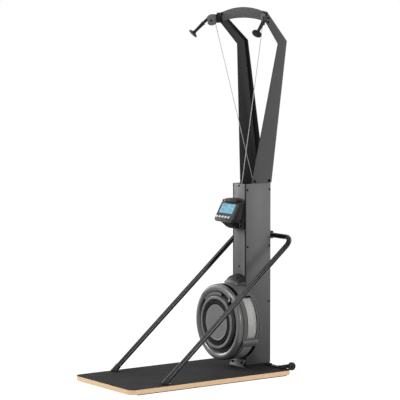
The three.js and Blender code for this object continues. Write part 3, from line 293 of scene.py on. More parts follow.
class Finish:
    """A Principled material whose colour, roughness and bump come from nodes in object space."""

    def __init__(self, name, color, roughness, specular):
        self.material = bpy.data.materials.new(name)
        self.material.use_nodes = True
        self.tree = self.material.node_tree
        self.inputs = self.tree.nodes["Principled BSDF"].inputs
        self.color = color
        self.roughness = roughness
        self.normal = None
        self.inputs["Base Color"].default_value = (*color, 1)
        self.inputs["Roughness"].default_value = roughness
        self.inputs["Specular IOR Level"].default_value = specular
        self.coords = self.node("ShaderNodeTexCoord", {})

    def feed(self, socket, value):
        """Links a socket to another node's output, or sets it to a plain value."""
        if isinstance(value, bpy.types.NodeSocket):
            self.tree.links.new(value, socket)
        else:
            socket.default_value = value

    def node(self, kind, feeds, **settings):
        made = self.tree.nodes.new(kind)
        for key, value in settings.items():
            setattr(made, key, value)
        for socket, value in feeds.items():
            self.feed(made.inputs[socket], value)
        return made.outputs

    def axes(self, output="Object"):
        return self.node("ShaderNodeSeparateXYZ", {"Vector": self.coords[output]})

    def noise(self, scale, detail, stretch=(1, 1, 1), roughness=0.5):
        place = self.node("ShaderNodeMapping", {"Vector": self.coords["Object"], "Scale": stretch})
        return self.node("ShaderNodeTexNoise", {"Scale": scale, "Detail": detail, "Roughness": roughness,
                                                "Vector": place["Vector"]})["Fac"]

    def ramp(self, source, start, end, low, high):
        """The low colour where the source is at its start, the high one at its end."""
        made = self.tree.nodes.new("ShaderNodeValToRGB")
        for element, place, color in zip(made.color_ramp.elements, (start, end), (low, high)):
            element.position = place
            element.color = (*color, 1)
        self.feed(made.inputs["Fac"], source)
        return made.outputs["Color"]

    def span(self, source, start, end, low=0, high=1):
        """The low value where the source is at its start, the high one at its end."""
        return self.node("ShaderNodeMapRange", {"Value": source, "From Min": start, "From Max": end,
                                                "To Min": low, "To Max": high})["Result"]

    def calc(self, operation, first, second=0):
        return self.node("ShaderNodeMath", {0: first, 1: second}, operation=operation)["Value"]

    def mix(self, share, first, second):
        colors = [(*color, 1) if isinstance(color, tuple) else color for color in (first, second)]
        feeds = {"Factor": share, 6: colors[0], 7: colors[1]}
        return self.node("ShaderNodeMix", feeds, data_type="RGBA")[2]

    def paint(self, color):
        self.feed(self.inputs["Base Color"], color)

    def mottle(self, source, spread):
        """The base colour, darker and lighter by a share where the source is low and high."""
        low, high = (tuple(c * (1 + sign * spread) for c in self.color) for sign in (-1, 1))
        color = self.ramp(source, NOISE_LOW, NOISE_HIGH, low, high)
        self.paint(color)
        return color

    def rough(self, source, spread):
        low, high = self.roughness - spread, self.roughness + spread
        self.feed(self.inputs["Roughness"], self.span(source, NOISE_LOW, NOISE_HIGH, low, high))

    def bump(self, source, depth):
        feeds = {"Strength": 1, "Distance": depth, "Height": source}
        if self.normal:
            feeds["Normal"] = self.normal
        self.normal = self.node("ShaderNodeBump", feeds)["Normal"]
        self.feed(self.inputs["Normal"], self.normal)


def sprayed(made, grain=0.00012, shade=None):
    """Sprayed coat: an orange-peel grain with faint clouds of tone, and painted shade where its shade says.
    """
    peel = made.noise(420, 2, roughness=0.6)
    tone = made.mottle(made.noise(7, 4), 0.05)
    if shade:
        made.paint(shade(made, tone))
    made.rough(peel, 0.05)
    made.bump(peel, grain)


def painted_shade_below(made, tone):
    """Painted shade towards the platform: darker from a height of 0.85 down to 0.12."""
    return made.mix(made.span(made.axes()["Z"], 0.12, 0.85), (0.042, 0.042, 0.043), tone)


def painted_shade_inside(side):
    """Painted shade: darker on the inner face of that side's channel and near black on its front and rear
    faces.
    """
    def shade(made, tone):
        normal = made.axes("Normal")
        inward = made.span(made.calc("MULTIPLY", normal["X"], -side), 0.35, 0.75)
        across = made.span(made.calc("ABSOLUTE", normal["Y"]), 0.55, 0.85)
        return made.mix(across, made.mix(inward, tone, (0.046, 0.046, 0.047)), (0.008, 0.008, 0.0085))
    return shade


def moulded(made, grain=0.00006, scale=900):
    """Moulded plastic: a fine spark-eroded grain."""
    fine = made.noise(scale, 2)
    made.mottle(made.noise(14, 3), 0.06)
    made.rough(fine, 0.05)
    made.bump(fine, grain)


def brushed(made, stretch):
    """Bare metal with fine drawn lines."""
    made.inputs["Metallic"].default_value = 1
    lines = made.noise(60, 4, stretch)
    made.mottle(lines, 0.12)
    made.rough(lines, 0.1)
    made.bump(lines, 0.00003)


def rubbery(made):
    fine = made.noise(700, 3)
    made.mottle(made.noise(30, 3), 0.15)
    made.rough(fine, 0.08)
    made.bump(fine, 0.00012)


def plywood(made):
    """Birch ply seen at its edge: thin plies in turn pale and brown, with end grain and long grain."""
    ply = 0.0021
    drift = made.calc("MULTIPLY", made.noise(3, 2), 0.0012)
    layer = made.calc("ADD", made.axes()["Z"], drift)
    wave = made.span(made.calc("SINE", made.calc("MULTIPLY", layer, math.pi / ply)), -1, 1)
    plies = made.ramp(wave, NOISE_LOW, NOISE_HIGH, (0.56, 0.35, 0.19), (0.76, 0.55, 0.34))
    grain = made.noise(40, 5, (1, 1, 14), roughness=0.65)
    streaks = made.ramp(grain, 0.35, 0.65, (0.6, 0.4, 0.23), (0.8, 0.6, 0.39))
    made.paint(made.mix(0.45, plies, streaks))
    made.rough(grain, 0.08)
    made.bump(wave, 0.0001)
    made.bump(grain, 0.0001)


def wire_pressed(made):
    """Dark anti-slip film with the fine grid of a wire-pressed face."""
    pitch = 0.0042
    place = made.axes()
    waves = [made.calc("SINE", made.calc("MULTIPLY", place[axis], TURN / pitch)) for axis in ("X", "Y")]
    grid = made.span(made.calc("MULTIPLY", *waves), -1, 1)
    speckle = made.noise(260, 3, roughness=0.7)
    made.mottle(made.span(made.calc("ADD", made.noise(9, 5), speckle), 0.6, 1.4), 0.16)
    made.rough(speckle, 0.1)
    made.bump(grid, 0.00022)
    made.bump(speckle, 0.00012)


def braided(made):
    feeds = {"Scale": 260, "Distortion": 1.5, "Vector": made.coords["Object"]}
    strands = made.node("ShaderNodeTexWave", feeds, wave_type="BANDS", bands_direction="DIAGONAL")["Fac"]
    made.mottle(strands, 0.1)
    made.bump(strands, 0.0003)


def backlit(made):
    """A display: pale blue with faint clouds under a clear window."""
    clouds = made.noise(60, 4, roughness=0.7)
    made.paint(made.ramp(clouds, 0.25, 0.75, (0.06, 0.23, 0.34), (0.12, 0.37, 0.49)))
    made.rough(clouds, 0.05)


# Name: slot, kind, colour, roughness, specular level, the kind's own values
LOOK_VALUES = {
    # The coated steel's darkening towards the platform is painted shade.
    "coated_steel": ("coated_steel", sprayed, (0.114, 0.114, 0.117), 0.55, 0.28, {"shade": painted_shade_below}),
    # Each arm's look paints shade on its channel's inner, front and rear faces.
    "arm_steel_right": ("coated_steel", sprayed, (0.07, 0.07, 0.072), 0.58, 0.15,
                        {"shade": painted_shade_inside(1)}),
    "arm_steel_left": ("coated_steel", sprayed, (0.07, 0.07, 0.072), 0.58, 0.15,
                       {"shade": painted_shade_inside(-1)}),
    "arch_steel": ("coated_steel", sprayed, (0.05, 0.05, 0.052), 0.58, 0.1, {}),
    "dark_steel": ("dark_steel", sprayed, (0.009, 0.009, 0.01), 0.42, 0.2, {}),
    "tube_steel": ("dark_steel", sprayed, (0.0025, 0.0025, 0.0027), 0.2, 0.22, {"grain": 0.00002}),
    "housing_metal": ("housing_metal", sprayed, (0.07, 0.07, 0.072), 0.45, 0.3, {}),
    "bracket_grey": ("bare_steel", sprayed, (0.17, 0.17, 0.172), 0.5, 0.3, {}),
    "bare_steel": ("bare_steel", brushed, (0.16, 0.16, 0.165), 0.45, 0.5, {"stretch": (1, 1, 40)}),
    "blackened_bolt": ("dark_steel", brushed, (0.006, 0.006, 0.007), 0.5, 0.5, {"stretch": (8, 8, 8)}),
    "mesh_metal": ("mesh_metal", brushed, (0.36, 0.36, 0.35), 0.5, 0.5, {"stretch": (6, 6, 6)}),
    "shell_plastic": ("shell_plastic", moulded, (0.075, 0.075, 0.077), 0.35, 0.25, {}),
    "guard_plastic": ("shell_plastic", moulded, (0.18, 0.18, 0.182), 0.4, 0.3, {}),
    "skirt_plastic": ("shell_plastic", moulded, (0.035, 0.035, 0.036), 0.36, 0.25, {}),
    "ring_plastic": ("shell_plastic", moulded, (0.07, 0.07, 0.072), 0.28, 0.8, {}),
    "scale_plastic": ("shell_plastic", moulded, (0.105, 0.105, 0.107), 0.36, 0.35, {}),
    "hood_plastic": ("shell_plastic", moulded, (0.012, 0.012, 0.013), 0.42, 0.12, {}),
    "disc_plastic": ("disc_plastic", moulded, (0.15, 0.15, 0.153), 0.5, 0.3, {}),
    "black_plastic": ("black_plastic", moulded, (0.006, 0.006, 0.007), 0.4, 0.15, {}),
    "vent_black": ("black_plastic", moulded, (0.002, 0.002, 0.002), 0.6, 0.02, {}),
    "console_plastic": ("console_plastic", moulded, (0.006, 0.006, 0.007), 0.4, 0.16,
                        {"grain": 0.0001, "scale": 600}),
    # The belly's look is a darker copy of the console plastic: painted shade on the underside.
    "shaded_belly_plastic": ("console_plastic", moulded, (0.003, 0.003, 0.0035), 0.6, 0.05,
                      {"grain": 0.0001, "scale": 600}),
    "legend_grey": ("button", moulded, (0.45, 0.45, 0.46), 0.5, 0.5, {}),
    "screen_ink": ("screen", moulded, (0.03, 0.11, 0.2), 0.3, 0.5, {}),
    "display_window": ("screen", backlit, (0.16, 0.45, 0.66), 0.22, 0.5, {}),
    "rubber": ("rubber", rubbery, (0.012, 0.012, 0.013), 0.75, 0.15, {}),
    "wheel_rubber": ("rubber", rubbery, (0.034, 0.034, 0.035), 0.75, 0.15, {}),
    "handle_rubber": ("rubber", rubbery, (0.009, 0.009, 0.01), 0.6, 0.15, {}),
    "button_rubber": ("button", rubbery, (0.5, 0.5, 0.52), 0.55, 0.15, {}),
    "cord_braid": ("cord", braided, (0.36, 0.36, 0.37), 0.8, 0.25, {}),
    "plywood_edge": ("plywood", plywood, (0.68, 0.46, 0.27), 0.5, 0.35, {}),
    "anti_slip_film": ("mat_film", wire_pressed, (0.0225, 0.022, 0.022), 0.8, 0.05, {}),
}

# CAD nodes that show as they are: look, width and steps of their softened edges
KEPT = (
    ("foot_strip_front foot_strip_middle foot_strip_rear", "rubber", 0.0008, 2),
    ("base_plate", "dark_steel", 0.0008, 2),
    ("front_foot_bracket", "bracket_grey", 0.0008, 2),
    ("inner_mast", "dark_steel", 0.0005, 2),
    ("cord_guide top_pulley_right top_pulley_left", "black_plastic", 0.0004, 2),
    ("cord_drum_right cord_drum_left", "black_plastic", 0.0004, 2),
    ("front_cover", "coated_steel", 0.0005, 2),
    ("side_cover_right side_cover_left", "coated_steel", 0.0012, 3),
    ("arm_right", "arm_steel_right", 0.0009, 3),
    ("arm_left", "arm_steel_left", 0.0009, 3),
    ("pulley_bracket_right pulley_bracket_left", "dark_steel", 0.0006, 2),
    ("brace_foot_right brace_foot_left", "dark_steel", 0.0006, 2),
    ("brace_clamp", "dark_steel", 0.0015, 3),
    ("flywheel_fan flywheel_shaft shaft_bearing_front shaft_bearing_rear", "bare_steel", 0.0005, 2),
    ("console_screen", "display_window", 0, 0),
    ("console_button_1 console_button_2 console_button_3", "button_rubber", 0.0014, 3),
    ("console_button_4 console_button_5", "button_rubber", 0.0014, 3),
    ("console_hinge_pin", "bare_steel", 0.0004, 2),
    ("console_cradle", "console_plastic", 0.0012, 2),
)


def dressed(name, slot, kind, color, roughness, specular, values):
    made = Finish(name, color, roughness, specular)
    kind(made, **values)
    return made.material, slot


LOOKS = {name: dressed(name, *values) for name, values in LOOK_VALUES.items()}


# Fasteners, with outlines as shares of their radius and height

HEAD_SIDES = 24
HEAD_SHARES = ((1, 0), (1, 0.45), (0.93, 0.8), (0.78, 1))
SOCKET_SHARES = ((0.5, 1), (0.47, 0.35))
WASHER_SHARES = ((0.4, 0), (1, 0), (1, 0.6), (0.93, 1), (0.4, 1))
WASHER = 0.0012

# Radius and height of each screw's head
COVER_SCREW = (0.0064, 0.0018)
ARM_SCREW = (0.0062, 0.0035)
HUB_SCREW_OUT = (0.0062, 0.003)
HUB_SCREW_IN = (0.0062, 0.0026)
CLAMP_SCREW = (0.0042, 0.004)
BLOCK_SCREW = (0.0042, 0.003)
HOOD_SCREW = (0.0048, 0.002)
PIN_CAP = (0.006, 0.003)
# Radius and height of each bolt's head and radius of its washer
BASE_BOLT = (0.0085, 0.0065, 0.0105)
FOOT_BOLT = (0.007, 0.005, 0.009)
ARM_BOLT = (0.007, 0.005, 0.0085)
ARCH_BOLT = (0.007, 0.004, 0.0085)


def bolt_head(radius, height, seat, out):
    """A round head with a domed edge and a hexagonal socket, on its seat."""
    sector = TURN / 6

    def ring(wide, far, hexagonal):
        points = []
        for turn in (TURN * i / HEAD_SIDES for i in range(HEAD_SIDES)):
            flat = math.cos(sector / 2) / math.cos((turn + sector / 2) % sector - sector / 2)
            reach = radius * wide * (flat if hexagonal else 1)
            points.append((reach * math.cos(turn), reach * math.sin(turn), height * far))
        return points

    rings = [ring(wide, far, False) for wide, far in HEAD_SHARES]
    rings += [ring(wide, far, True) for wide, far in SOCKET_SHARES]
    return moved(loft(rings), facing(seat, out))


def bolt(radius, height, washer_radius, seat, out, washer=WASHER):
    """A bolt head on its washer."""
    profile = [(washer_radius * wide, washer * far) for wide, far in WASHER_SHARES]
    under = turned(profile, HEAD_SIDES, facing(seat, out))
    return joined(under, bolt_head(radius, height, seat + out * washer, out))


def bolts(name, heads):
    piece(name, joined(*heads), "blackened_bolt")


# Platform

BOARD_CORNER = 0.045
BOARD_CORNER_STEPS = 20
BOARD_EDGE = 0.0014
MAT_EDGE = 0.0005
SHADOW_STRIP_INSET = 0.0006
SHADOW_STRIP_WIDTH = 0.0064


def platform():
    for name, look, edge in (("platform_board", "plywood_edge", BOARD_EDGE),
                             ("platform_mat", "anti_slip_film", MAT_EDGE)):
        low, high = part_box(name)
        outline = rounded_rectangle(high.x - low.x, high.y - low.y, BOARD_CORNER, steps=BOARD_CORNER_STEPS)
        shape = prism(outline, high.z - low.z, Matrix.Translation((0, 0, low.z)))
        piece(name + "_fine", shape, look, stands_for=name, bevel=edge)
    # A black strip under each long edge of the board paints the contact shadow between the board and the
    # floor.
    low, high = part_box("platform_board")
    outer = high.x - SHADOW_STRIP_INSET
    strip = box((outer - SHADOW_STRIP_WIDTH, low.y + BOARD_CORNER, SHADOW_STRIP_INSET),
                (outer, high.y - BOARD_CORNER, low.z))
    both("contact_shadow_strip", strip, "rubber")


# Base plate, foot bracket and transport wheels

BASE_BOLT_X = (-0.2, -0.11, 0.11, 0.2)
BASE_BOLT_Y = 0.5435
BASE_SHEET = 0.006
BASE_WASHER = 0.0015
FOOT_SHEET = 0.003
FOOT_BOLT_X = 0.046
WHEEL_BORE = 0.0054
WHEEL_HUB = ((0.008, 0.7), (0.01, 0.55), (0.0165, 0.55), (0.0185, 1))
TYRE_EDGE = ((0.005, 0), (0.0015, 0.0022), (0, 0.006))


def base():
    low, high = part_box("front_foot_bracket")
    seats = [vec(x, BASE_BOLT_Y, low.z + BASE_SHEET) for x in BASE_BOLT_X]
    bolts("base_bolts", [bolt(*BASE_BOLT, seat, Z, BASE_WASHER) for seat in seats])
    run, rise = high.y - low.y, high.z - low.z - FOOT_SHEET
    slope = vec(0, -rise, run).normalized()
    seats = [vec(side * FOOT_BOLT_X, low.y + run / 2, low.z + FOOT_SHEET + rise / 2) for side in (-1, 1)]
    bolts("foot_bracket_bolts", [bolt(*FOOT_BOLT, seat, slope) for seat in seats])


def transport_wheels():
    low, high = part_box("transport_wheel_right")
    radius = (high.z - low.z) / 2
    half = (high.x - low.x) / 2
    hub = [(WHEEL_BORE, WHEEL_HUB[0][1]), *WHEEL_HUB]
    profile = [(reach, -half * share) for reach, share in hub]
    profile += [(radius - inset, -half + along) for inset, along in TYRE_EDGE]
    profile += [(reach, -along) for reach, along in reversed(profile)]
    both("wheel_fine", turned(profile, 48, facing((low + high) / 2, X)), "wheel_rubber",
         "transport_wheel_{}", "transport_wheel_{}")


# Column

COVER_SHEET = 0.002
FRONT_SCREWS = (1.094, 0.62)
SIDE_SCREWS = ((0.408, 1.07), (0.571, 1.068), (0.41, 0.737), (0.568, 0.736), (0.567, 0.407), (0.41, 0.407))
SEAL_DEPTH = 0.0012
SEAL_LAP = 0.0026
SEAL_LIFT = 0.0008
SEAL_ROUND = 0.0006
SEAL_SIDE_LAP = 0.0042


def column():
    low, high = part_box("front_cover")
    front, inner = low.y, high.x
    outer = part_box("side_cover_right")[1].x
    screws = [((0, front, z), -Y) for z in FRONT_SCREWS]
    screws += [((side * outer, y, z), side * X) for side in (1, -1) for y, z in SIDE_SCREWS]
    bolts("cover_screws", [bolt_head(*COVER_SCREW, *screw) for screw in screws])
    section = [(inner - SEAL_LAP, front - SEAL_LIFT), (outer - SEAL_ROUND, front - SEAL_LIFT),
               (outer + SEAL_LIFT, front + SEAL_ROUND), (outer + SEAL_LIFT, front + SEAL_SIDE_LAP),
               (outer + FIT, front + SEAL_SIDE_LAP), (outer + FIT, front + COVER_SHEET),
               (outer - COVER_SHEET, front - FIT), (inner - SEAL_LAP, front - FIT)]
    seal = loft([[vec(x, y, z) for x, y in section] for z in (low.z, high.z)])
    gasket = box((inner, front + SEAL_DEPTH, low.z), (outer - COVER_SHEET, high.y, high.z))
    both("corner_seal", joined(seal, gasket), "rubber")


# Arms and arch band

ARM_LEAN = math.radians(9.91)
ARM_BEND_Z = 1.107
ARM_BOLTS = ((0.46, 1.119), (0.5655, 1.12))
ARM_SCREWS = ((0.4327, 2.0668), (0.4359, 2.0435))
ARCH_OUTER = 0.751
ARCH_INNER = 1.053
ARCH_HEIGHT = 0.062
ARCH_END_INSET = 0.017
ARCH_EDGE = 0.0008
ARCH_BOLT_X = 0.2035
ARCH_BOLT_Z = 2.092


def arms():
    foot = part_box("side_cover_right")[1].x - COVER_SHEET - FIT
    normal = vec(math.cos(ARM_LEAN), 0, -math.sin(ARM_LEAN))

    def on_arm(y, z):
        return vec(foot + (z - ARM_BEND_Z) * math.tan(ARM_LEAN), y, z)

    heads = [bolt(*ARM_BOLT, on_arm(*place), normal) for place in ARM_BOLTS]
    heads += [bolt_head(*ARM_SCREW, on_arm(*place), normal) for place in ARM_SCREWS]
    both("arm_bolts", joined(*heads), "blackened_bolt")


def arch():
    low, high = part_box("arch_band")
    outer_end = math.asin(high.x / ARCH_OUTER)
    inner_end = math.asin((high.x - ARCH_END_INSET) / ARCH_INNER)
    top = TURN / 4
    outline = arc(0, high.z - ARCH_OUTER, ARCH_OUTER, top - outer_end, top + outer_end, 48)
    outline += arc(0, high.z - ARCH_HEIGHT - ARCH_INNER, ARCH_INNER, top + inner_end, top - inner_end, 48)
    band = plate(outline, high.y - low.y, basis(X, Z, -Y, (0, high.y, 0)), edge=ARCH_EDGE)
    piece("arch_band_fine", band, "arch_steel", stands_for="arch_band")
    bolts("arch_bolts", [bolt(*ARCH_BOLT, vec(side * ARCH_BOLT_X, low.y - FIT, ARCH_BOLT_Z), -Y)
                         for side in (1, -1)])


# Top pulleys

PULLEY_PLACE = vec(0.2526, 0.3773, 2.0548)
PULLEY_SPLAY = math.radians(57)
PULL_ANGLE = math.radians(40.4)
WRAP_RADIUS = 0.0234
CORD_RADIUS = 0.002
CORD_STRAIGHT = 0.015
HOUSING_RADIUS = 0.0295
HOUSING_HALF = 0.009
HOUSING_CAP = 0.0025
HOUSING_EDGE = 0.0022
CAP_EDGE = 0.0009
BRACKET_SHEET = 0.003
NOSE_RADIUS = 0.009
NOSE_BORE = 0.003
NOSE_LENGTH = 0.0367
NOSE_ROOT = 0.006
NOSE_CHAMFER = (0.001, 0.002)
NOSE_MOUTH = 0.006
NOSE_BALL_FROM = math.radians(-26)
NOSE_BALL_TO = math.radians(66)
HOUSING_ROUND_FROM = math.radians(218)
HOUSING_ROUND_TO = math.radians(318)
BALL_RADIUS = 0.01
HOUSING_CROWN_SHARES = ((0.9, 0.72), (0.42, 1.12), (-0.1, 1.25), (-0.6, 1.26), (-0.97, 1.18))
HOUSING_BACK_SHARES = ((-0.97, -0.42), (-0.9, -0.42))
OUTLET = ((0.0028, -0.001), (0.0058, -0.001), (0.0062, 0.001), (0.0055, 0.0035), (0.0032, 0.0035))
HANDLE_SWING = math.radians(20.3)
HANDLE_FALL = math.radians(44.3)

splay = vec(math.sin(PULLEY_SPLAY), -math.cos(PULLEY_SPLAY), 0)
inward = vec(-math.cos(PULLEY_SPLAY), -math.sin(PULLEY_SPLAY), 0)
pulley_frame = basis(splay, Z, inward, PULLEY_PLACE)
pull_out = vec(math.cos(PULL_ANGLE), -math.sin(PULL_ANGLE), 0)
pull_up = vec(math.sin(PULL_ANGLE), math.cos(PULL_ANGLE), 0)


def on_pull(distance):
    return pulley_frame @ (pull_up * WRAP_RADIUS + pull_out * distance)


nose_ball = on_pull(NOSE_LENGTH)
cord_foot = pulley_frame @ vec(-WRAP_RADIUS, -CORD_STRAIGHT, 0)
handle_line = vec(math.cos(HANDLE_FALL) * math.sin(HANDLE_SWING),
                  -math.cos(HANDLE_FALL) * math.cos(HANDLE_SWING), -math.sin(HANDLE_FALL))


def smooth_line(points, steps):
    """A smooth line through the points, with a few steps between each two."""
    points = [Vector(point) for point in points]
    padded = [points[0], *points, points[-1]]
    made = []
    for before, start, end, after in zip(padded, padded[1:], padded[2:], padded[3:]):
        for t in (k / steps for k in range(steps)):
            made.append(0.5 * (2 * start + (end - before) * t
                               + (2 * before - 5 * start + 4 * end - after) * t ** 2
                               + (3 * start - before - 3 * end + after) * t ** 3))
    return made + [points[-1]]


def pulley_housings():
    crown = smooth_line([vec(x, y, 0) * HOUSING_RADIUS for x, y in HOUSING_CROWN_SHARES], 5)
    outline = [(point.x, point.y) for point in crown]
    outline += [(x * HOUSING_RADIUS, y * HOUSING_RADIUS) for x, y in HOUSING_BACK_SHARES]
    outline += arc(0, 0, HOUSING_RADIUS, HOUSING_ROUND_FROM, HOUSING_ROUND_TO, 20)
    cap_base = HOUSING_HALF - HOUSING_CAP

    def slab(thickness, start, edge, steps):
        place = pulley_frame @ Matrix.Translation((0, 0, start))
        return plate(outline, thickness, place, edge, edge_steps=steps)

    body = slab(HOUSING_HALF + cap_base - FIT, -HOUSING_HALF, HOUSING_EDGE, 3)
    cap = slab(HOUSING_CAP, cap_base, CAP_EDGE, 2)
    outlet = turned(OUTLET, 24, facing(cord_foot, -Z))
    ball = arc(0, NOSE_LENGTH, BALL_RADIUS, NOSE_BALL_FROM, NOSE_BALL_TO, 16)
    inset, rise = NOSE_CHAMFER
    profile = [(NOSE_BORE, NOSE_ROOT), (NOSE_RADIUS - inset, NOSE_ROOT), (NOSE_RADIUS, NOSE_ROOT + rise)]
    profile += [*ball, (NOSE_BORE, NOSE_LENGTH + NOSE_MOUTH)]
    nose = turned(profile, 40, facing(on_pull(0), nose_ball - on_pull(0)))
    hub_out = pulley_frame @ vec(0, 0, -HOUSING_HALF - FIT - BRACKET_SHEET)
    hub_in = pulley_frame @ vec(0, 0, HOUSING_HALF)
    heads = joined(bolt_head(*HUB_SCREW_OUT, hub_out, -inward), bolt_head(*HUB_SCREW_IN, hub_in, inward))
    both("pulley_housing_fine", joined(body, outlet), "housing_metal", stands_for="pulley_housing_{}")
    both("pulley_nose", nose, "black_plastic")
    both("pulley_cap_fine", cap, "housing_metal", stands_for="pulley_cap_{}")
    both("pulley_bolts", heads, "blackened_bolt")


# Pull handles, profiles along their line from the ball at the housing's nose

GRIP_START = BALL_RADIUS + FIT
GRIP_LENGTH = 0.069
GRIP_END = GRIP_START + GRIP_LENGTH
GRIP_COLLAR = ((0.0028, 0), (0.0112, 0), (0.0123, 0.0012), (0.0123, 0.0055), (0.0114, 0.0075))
GRIP_FOOT = ((0.0088, -0.002), (0.0086, 0), (0.0056, 0), (0.0056, -0.02), (0.0028, -0.02))
GRIP_RADIUS = 0.0107
GRIP_TAPER = 0.0018
GRIP_TAPER_POWER = 1.3
GRIP_RIBS_START = GRIP_START + 0.011
GRIP_RIBS_LENGTH = GRIP_END - 0.005 - GRIP_RIBS_START
GRIP_RIBS = 14
RIB_DEPTH = 0.0004
RIB_SHARES = ((1, -0.3), (0, -0.15), (0, 0.15), (1, 0.3))
FLANGE_START = GRIP_END + FIT
FLANGE_LENGTH = 0.028
FLANGE_RADIUS = 0.029
SPIGOT_RADIUS = 0.005
SPIGOT_LENGTH = 0.018
FLANGE_NECK = 0.0082
FLANGE_SHARES = ((0.3, 0.06), (0.32, 0.16), (0.36, 0.26), (0.43, 0.35), (0.54, 0.44), (0.68, 0.515),
                 (0.82, 0.57), (0.93, 0.61), (0.985, 0.66), (1, 0.72), (1, 0.82), (0.975, 0.88),
                 (0.93, 0.92), (0.8, 0.95), (0.6, 0.975), (0.4, 0.99), (0.2, 0.998), (0, 1))
STRETCH_LAP = 0.004


def handles():
    line = facing(nose_ball, handle_line)
    grip = [(radius, GRIP_START + along) for radius, along in GRIP_COLLAR]
    for i in range(GRIP_RIBS):
        share = i / (GRIP_RIBS - 1)
        crest = GRIP_RADIUS - GRIP_TAPER * share ** GRIP_TAPER_POWER
        grip += [(crest - RIB_DEPTH * deep, GRIP_RIBS_START + GRIP_RIBS_LENGTH * (share + far / GRIP_RIBS))
                 for deep, far in RIB_SHARES]
    grip += [(radius, GRIP_END + along) for radius, along in GRIP_FOOT]
    inside = GRIP_END - SPIGOT_LENGTH
    flare = [(0, inside), (SPIGOT_RADIUS, inside), (SPIGOT_RADIUS, FLANGE_START),
             (FLANGE_NECK, FLANGE_START)]
    flare += [(FLANGE_RADIUS * wide, FLANGE_START + FLANGE_LENGTH * far) for wide, far in FLANGE_SHARES]
    both("grip_fine", turned(grip, 40, line), "handle_rubber", "handle_{}", "handle_grip_{}")
    flange = turned(flare, 56, line, closed=False)
    both("flange_fine", flange, "black_plastic", "handle_{}", "handle_flange_{}")
    low = nose_ball + handle_line * (BALL_RADIUS - STRETCH_LAP)
    high = nose_ball + handle_line * (GRIP_START + STRETCH_LAP)
    cord = sweep([low, high], CORD_RADIUS, 16)
    for side, hand in SIDES:
        stretch = piece("cord_stretch_" + hand, sided(cord, side), "cord_braid", body=None)
        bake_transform(stretch)


# Pull cords

CORD_COLUMN_Y = {"right": 0.4115, "left": 0.502}
GUIDE_DEPTH = 0.005
SHAFT_Z = 0.303


def cords():
    guide_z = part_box("cord_guide")[1].z - GUIDE_DEPTH
    wrap = arc(0, 0, WRAP_RADIUS, TURN / 4 - PULL_ANGLE, TURN / 2, 24)
    over = [nose_ball + handle_line * BALL_RADIUS, nose_ball]
    over += [pulley_frame @ vec(x, y, 0) for x, y in wrap] + [cord_foot]
    for side, hand in SIDES:
        column_y = CORD_COLUMN_Y[hand]
        route = [vec(side * p.x, p.y, p.z) for p in over]
        route += [vec(0, column_y, guide_z), vec(WRAP_RADIUS, column_y, SHAFT_Z)]
        cord = sweep(route, CORD_RADIUS, 12)
        piece("cord_fine_" + hand, cord, "cord_braid", stands_for="pull_cord_" + hand)


# Brace

BRACE_RADIUS = 0.015
BRACE_X = 0.26
BRACE_Y = 0.5923
BRACE_Z = 0.797
BRACE_SLOPE = math.radians(40)
BRACE_BEND = 0.07
MAT_TOP = 0.0317
FOOT_THICKNESS = 0.005
CLAMP_BOLT_Y = -0.008
CLAMP_BOLT_Z = 0.0185


def brace():
    end_z = MAT_TOP + 2 * FIT + FOOT_THICKNESS + BRACE_RADIUS * math.cos(BRACE_SLOPE)
    end_y = BRACE_Y - (BRACE_Z - end_z) / math.tan(BRACE_SLOPE)
    left_end, right_end = (vec(x, end_y, end_z) for x in (-BRACE_X, BRACE_X))
    left_corner, right_corner = (vec(x, BRACE_Y, BRACE_Z) for x in (-BRACE_X, BRACE_X))
    route = [left_end, *bend(left_end, left_corner, right_corner, BRACE_BEND, 28),
             *bend(left_corner, right_corner, right_end, BRACE_BEND, 28), right_end]
    piece("brace_tube_fine", sweep(route, BRACE_RADIUS, 40), "tube_steel", stands_for="brace_tube")
    side_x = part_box("brace_clamp")[1].x
    y = BRACE_Y + CLAMP_BOLT_Y
    bolts("clamp_bolts", [bolt_head(*CLAMP_SCREW, (side * side_x, y, BRACE_Z + z), side * X)
                          for side in (1, -1) for z in (CLAMP_BOLT_Z, -CLAMP_BOLT_Z)])


# Fan casing, profiles of (radius, y) about the flywheel's axis

FAN_RADIUS = 0.222
FAN_FRONT = 0.262
FAN_REAR = 0.385
FAN_SIDES = 144
WINDOW_LOW = math.radians(-20)
WINDOW_HIGH = math.radians(44)
WINDOW_FRONT = 0.295
WINDOW_REAR = 0.357
FRAME_RISE = 0.0012
FRAME_RADIUS = FAN_RADIUS + FRAME_RISE
fan_place = basis(X, Z, -Y, (0, 0, SHAFT_Z))


def fan_turned(profile, sides=FAN_SIDES):
    return turned([(radius, -y) for radius, y in profile], sides, fan_place)


def on_fan(turn, radius, y):
    return vec(radius * math.cos(turn), y, SHAFT_Z + radius * math.sin(turn))


def fan_sector(profile, start, end, steps=48):
    """A closed profile of (radius, y) turned about the axis between two angles."""
    return loft([[on_fan(start + (end - start) * i / steps, radius, y) for radius, y in profile]
                 for i in range(steps + 1)])


def band(inner, outer, front, rear):
    """The profile of a flat ring."""
    return [(inner, front), (outer, front), (outer, rear), (inner, rear)]


def fan_basis(turn, y):
    """A place on the axis whose X axis points out at that angle, with Z to the front."""
    out = vec(math.cos(turn), 0, math.sin(turn))
    along = vec(-math.sin(turn), 0, math.cos(turn))
    return basis(out, along, out.cross(along), (0, y, SHAFT_Z))


def spokes(count, low, high):
    """A box in the fan's place, repeated round the axis."""
    turns = [Matrix.Rotation(TURN * i / count, 4, "Z") for i in range(count)]
    return [moved(box(low, high), fan_place @ turn) for turn in turns]


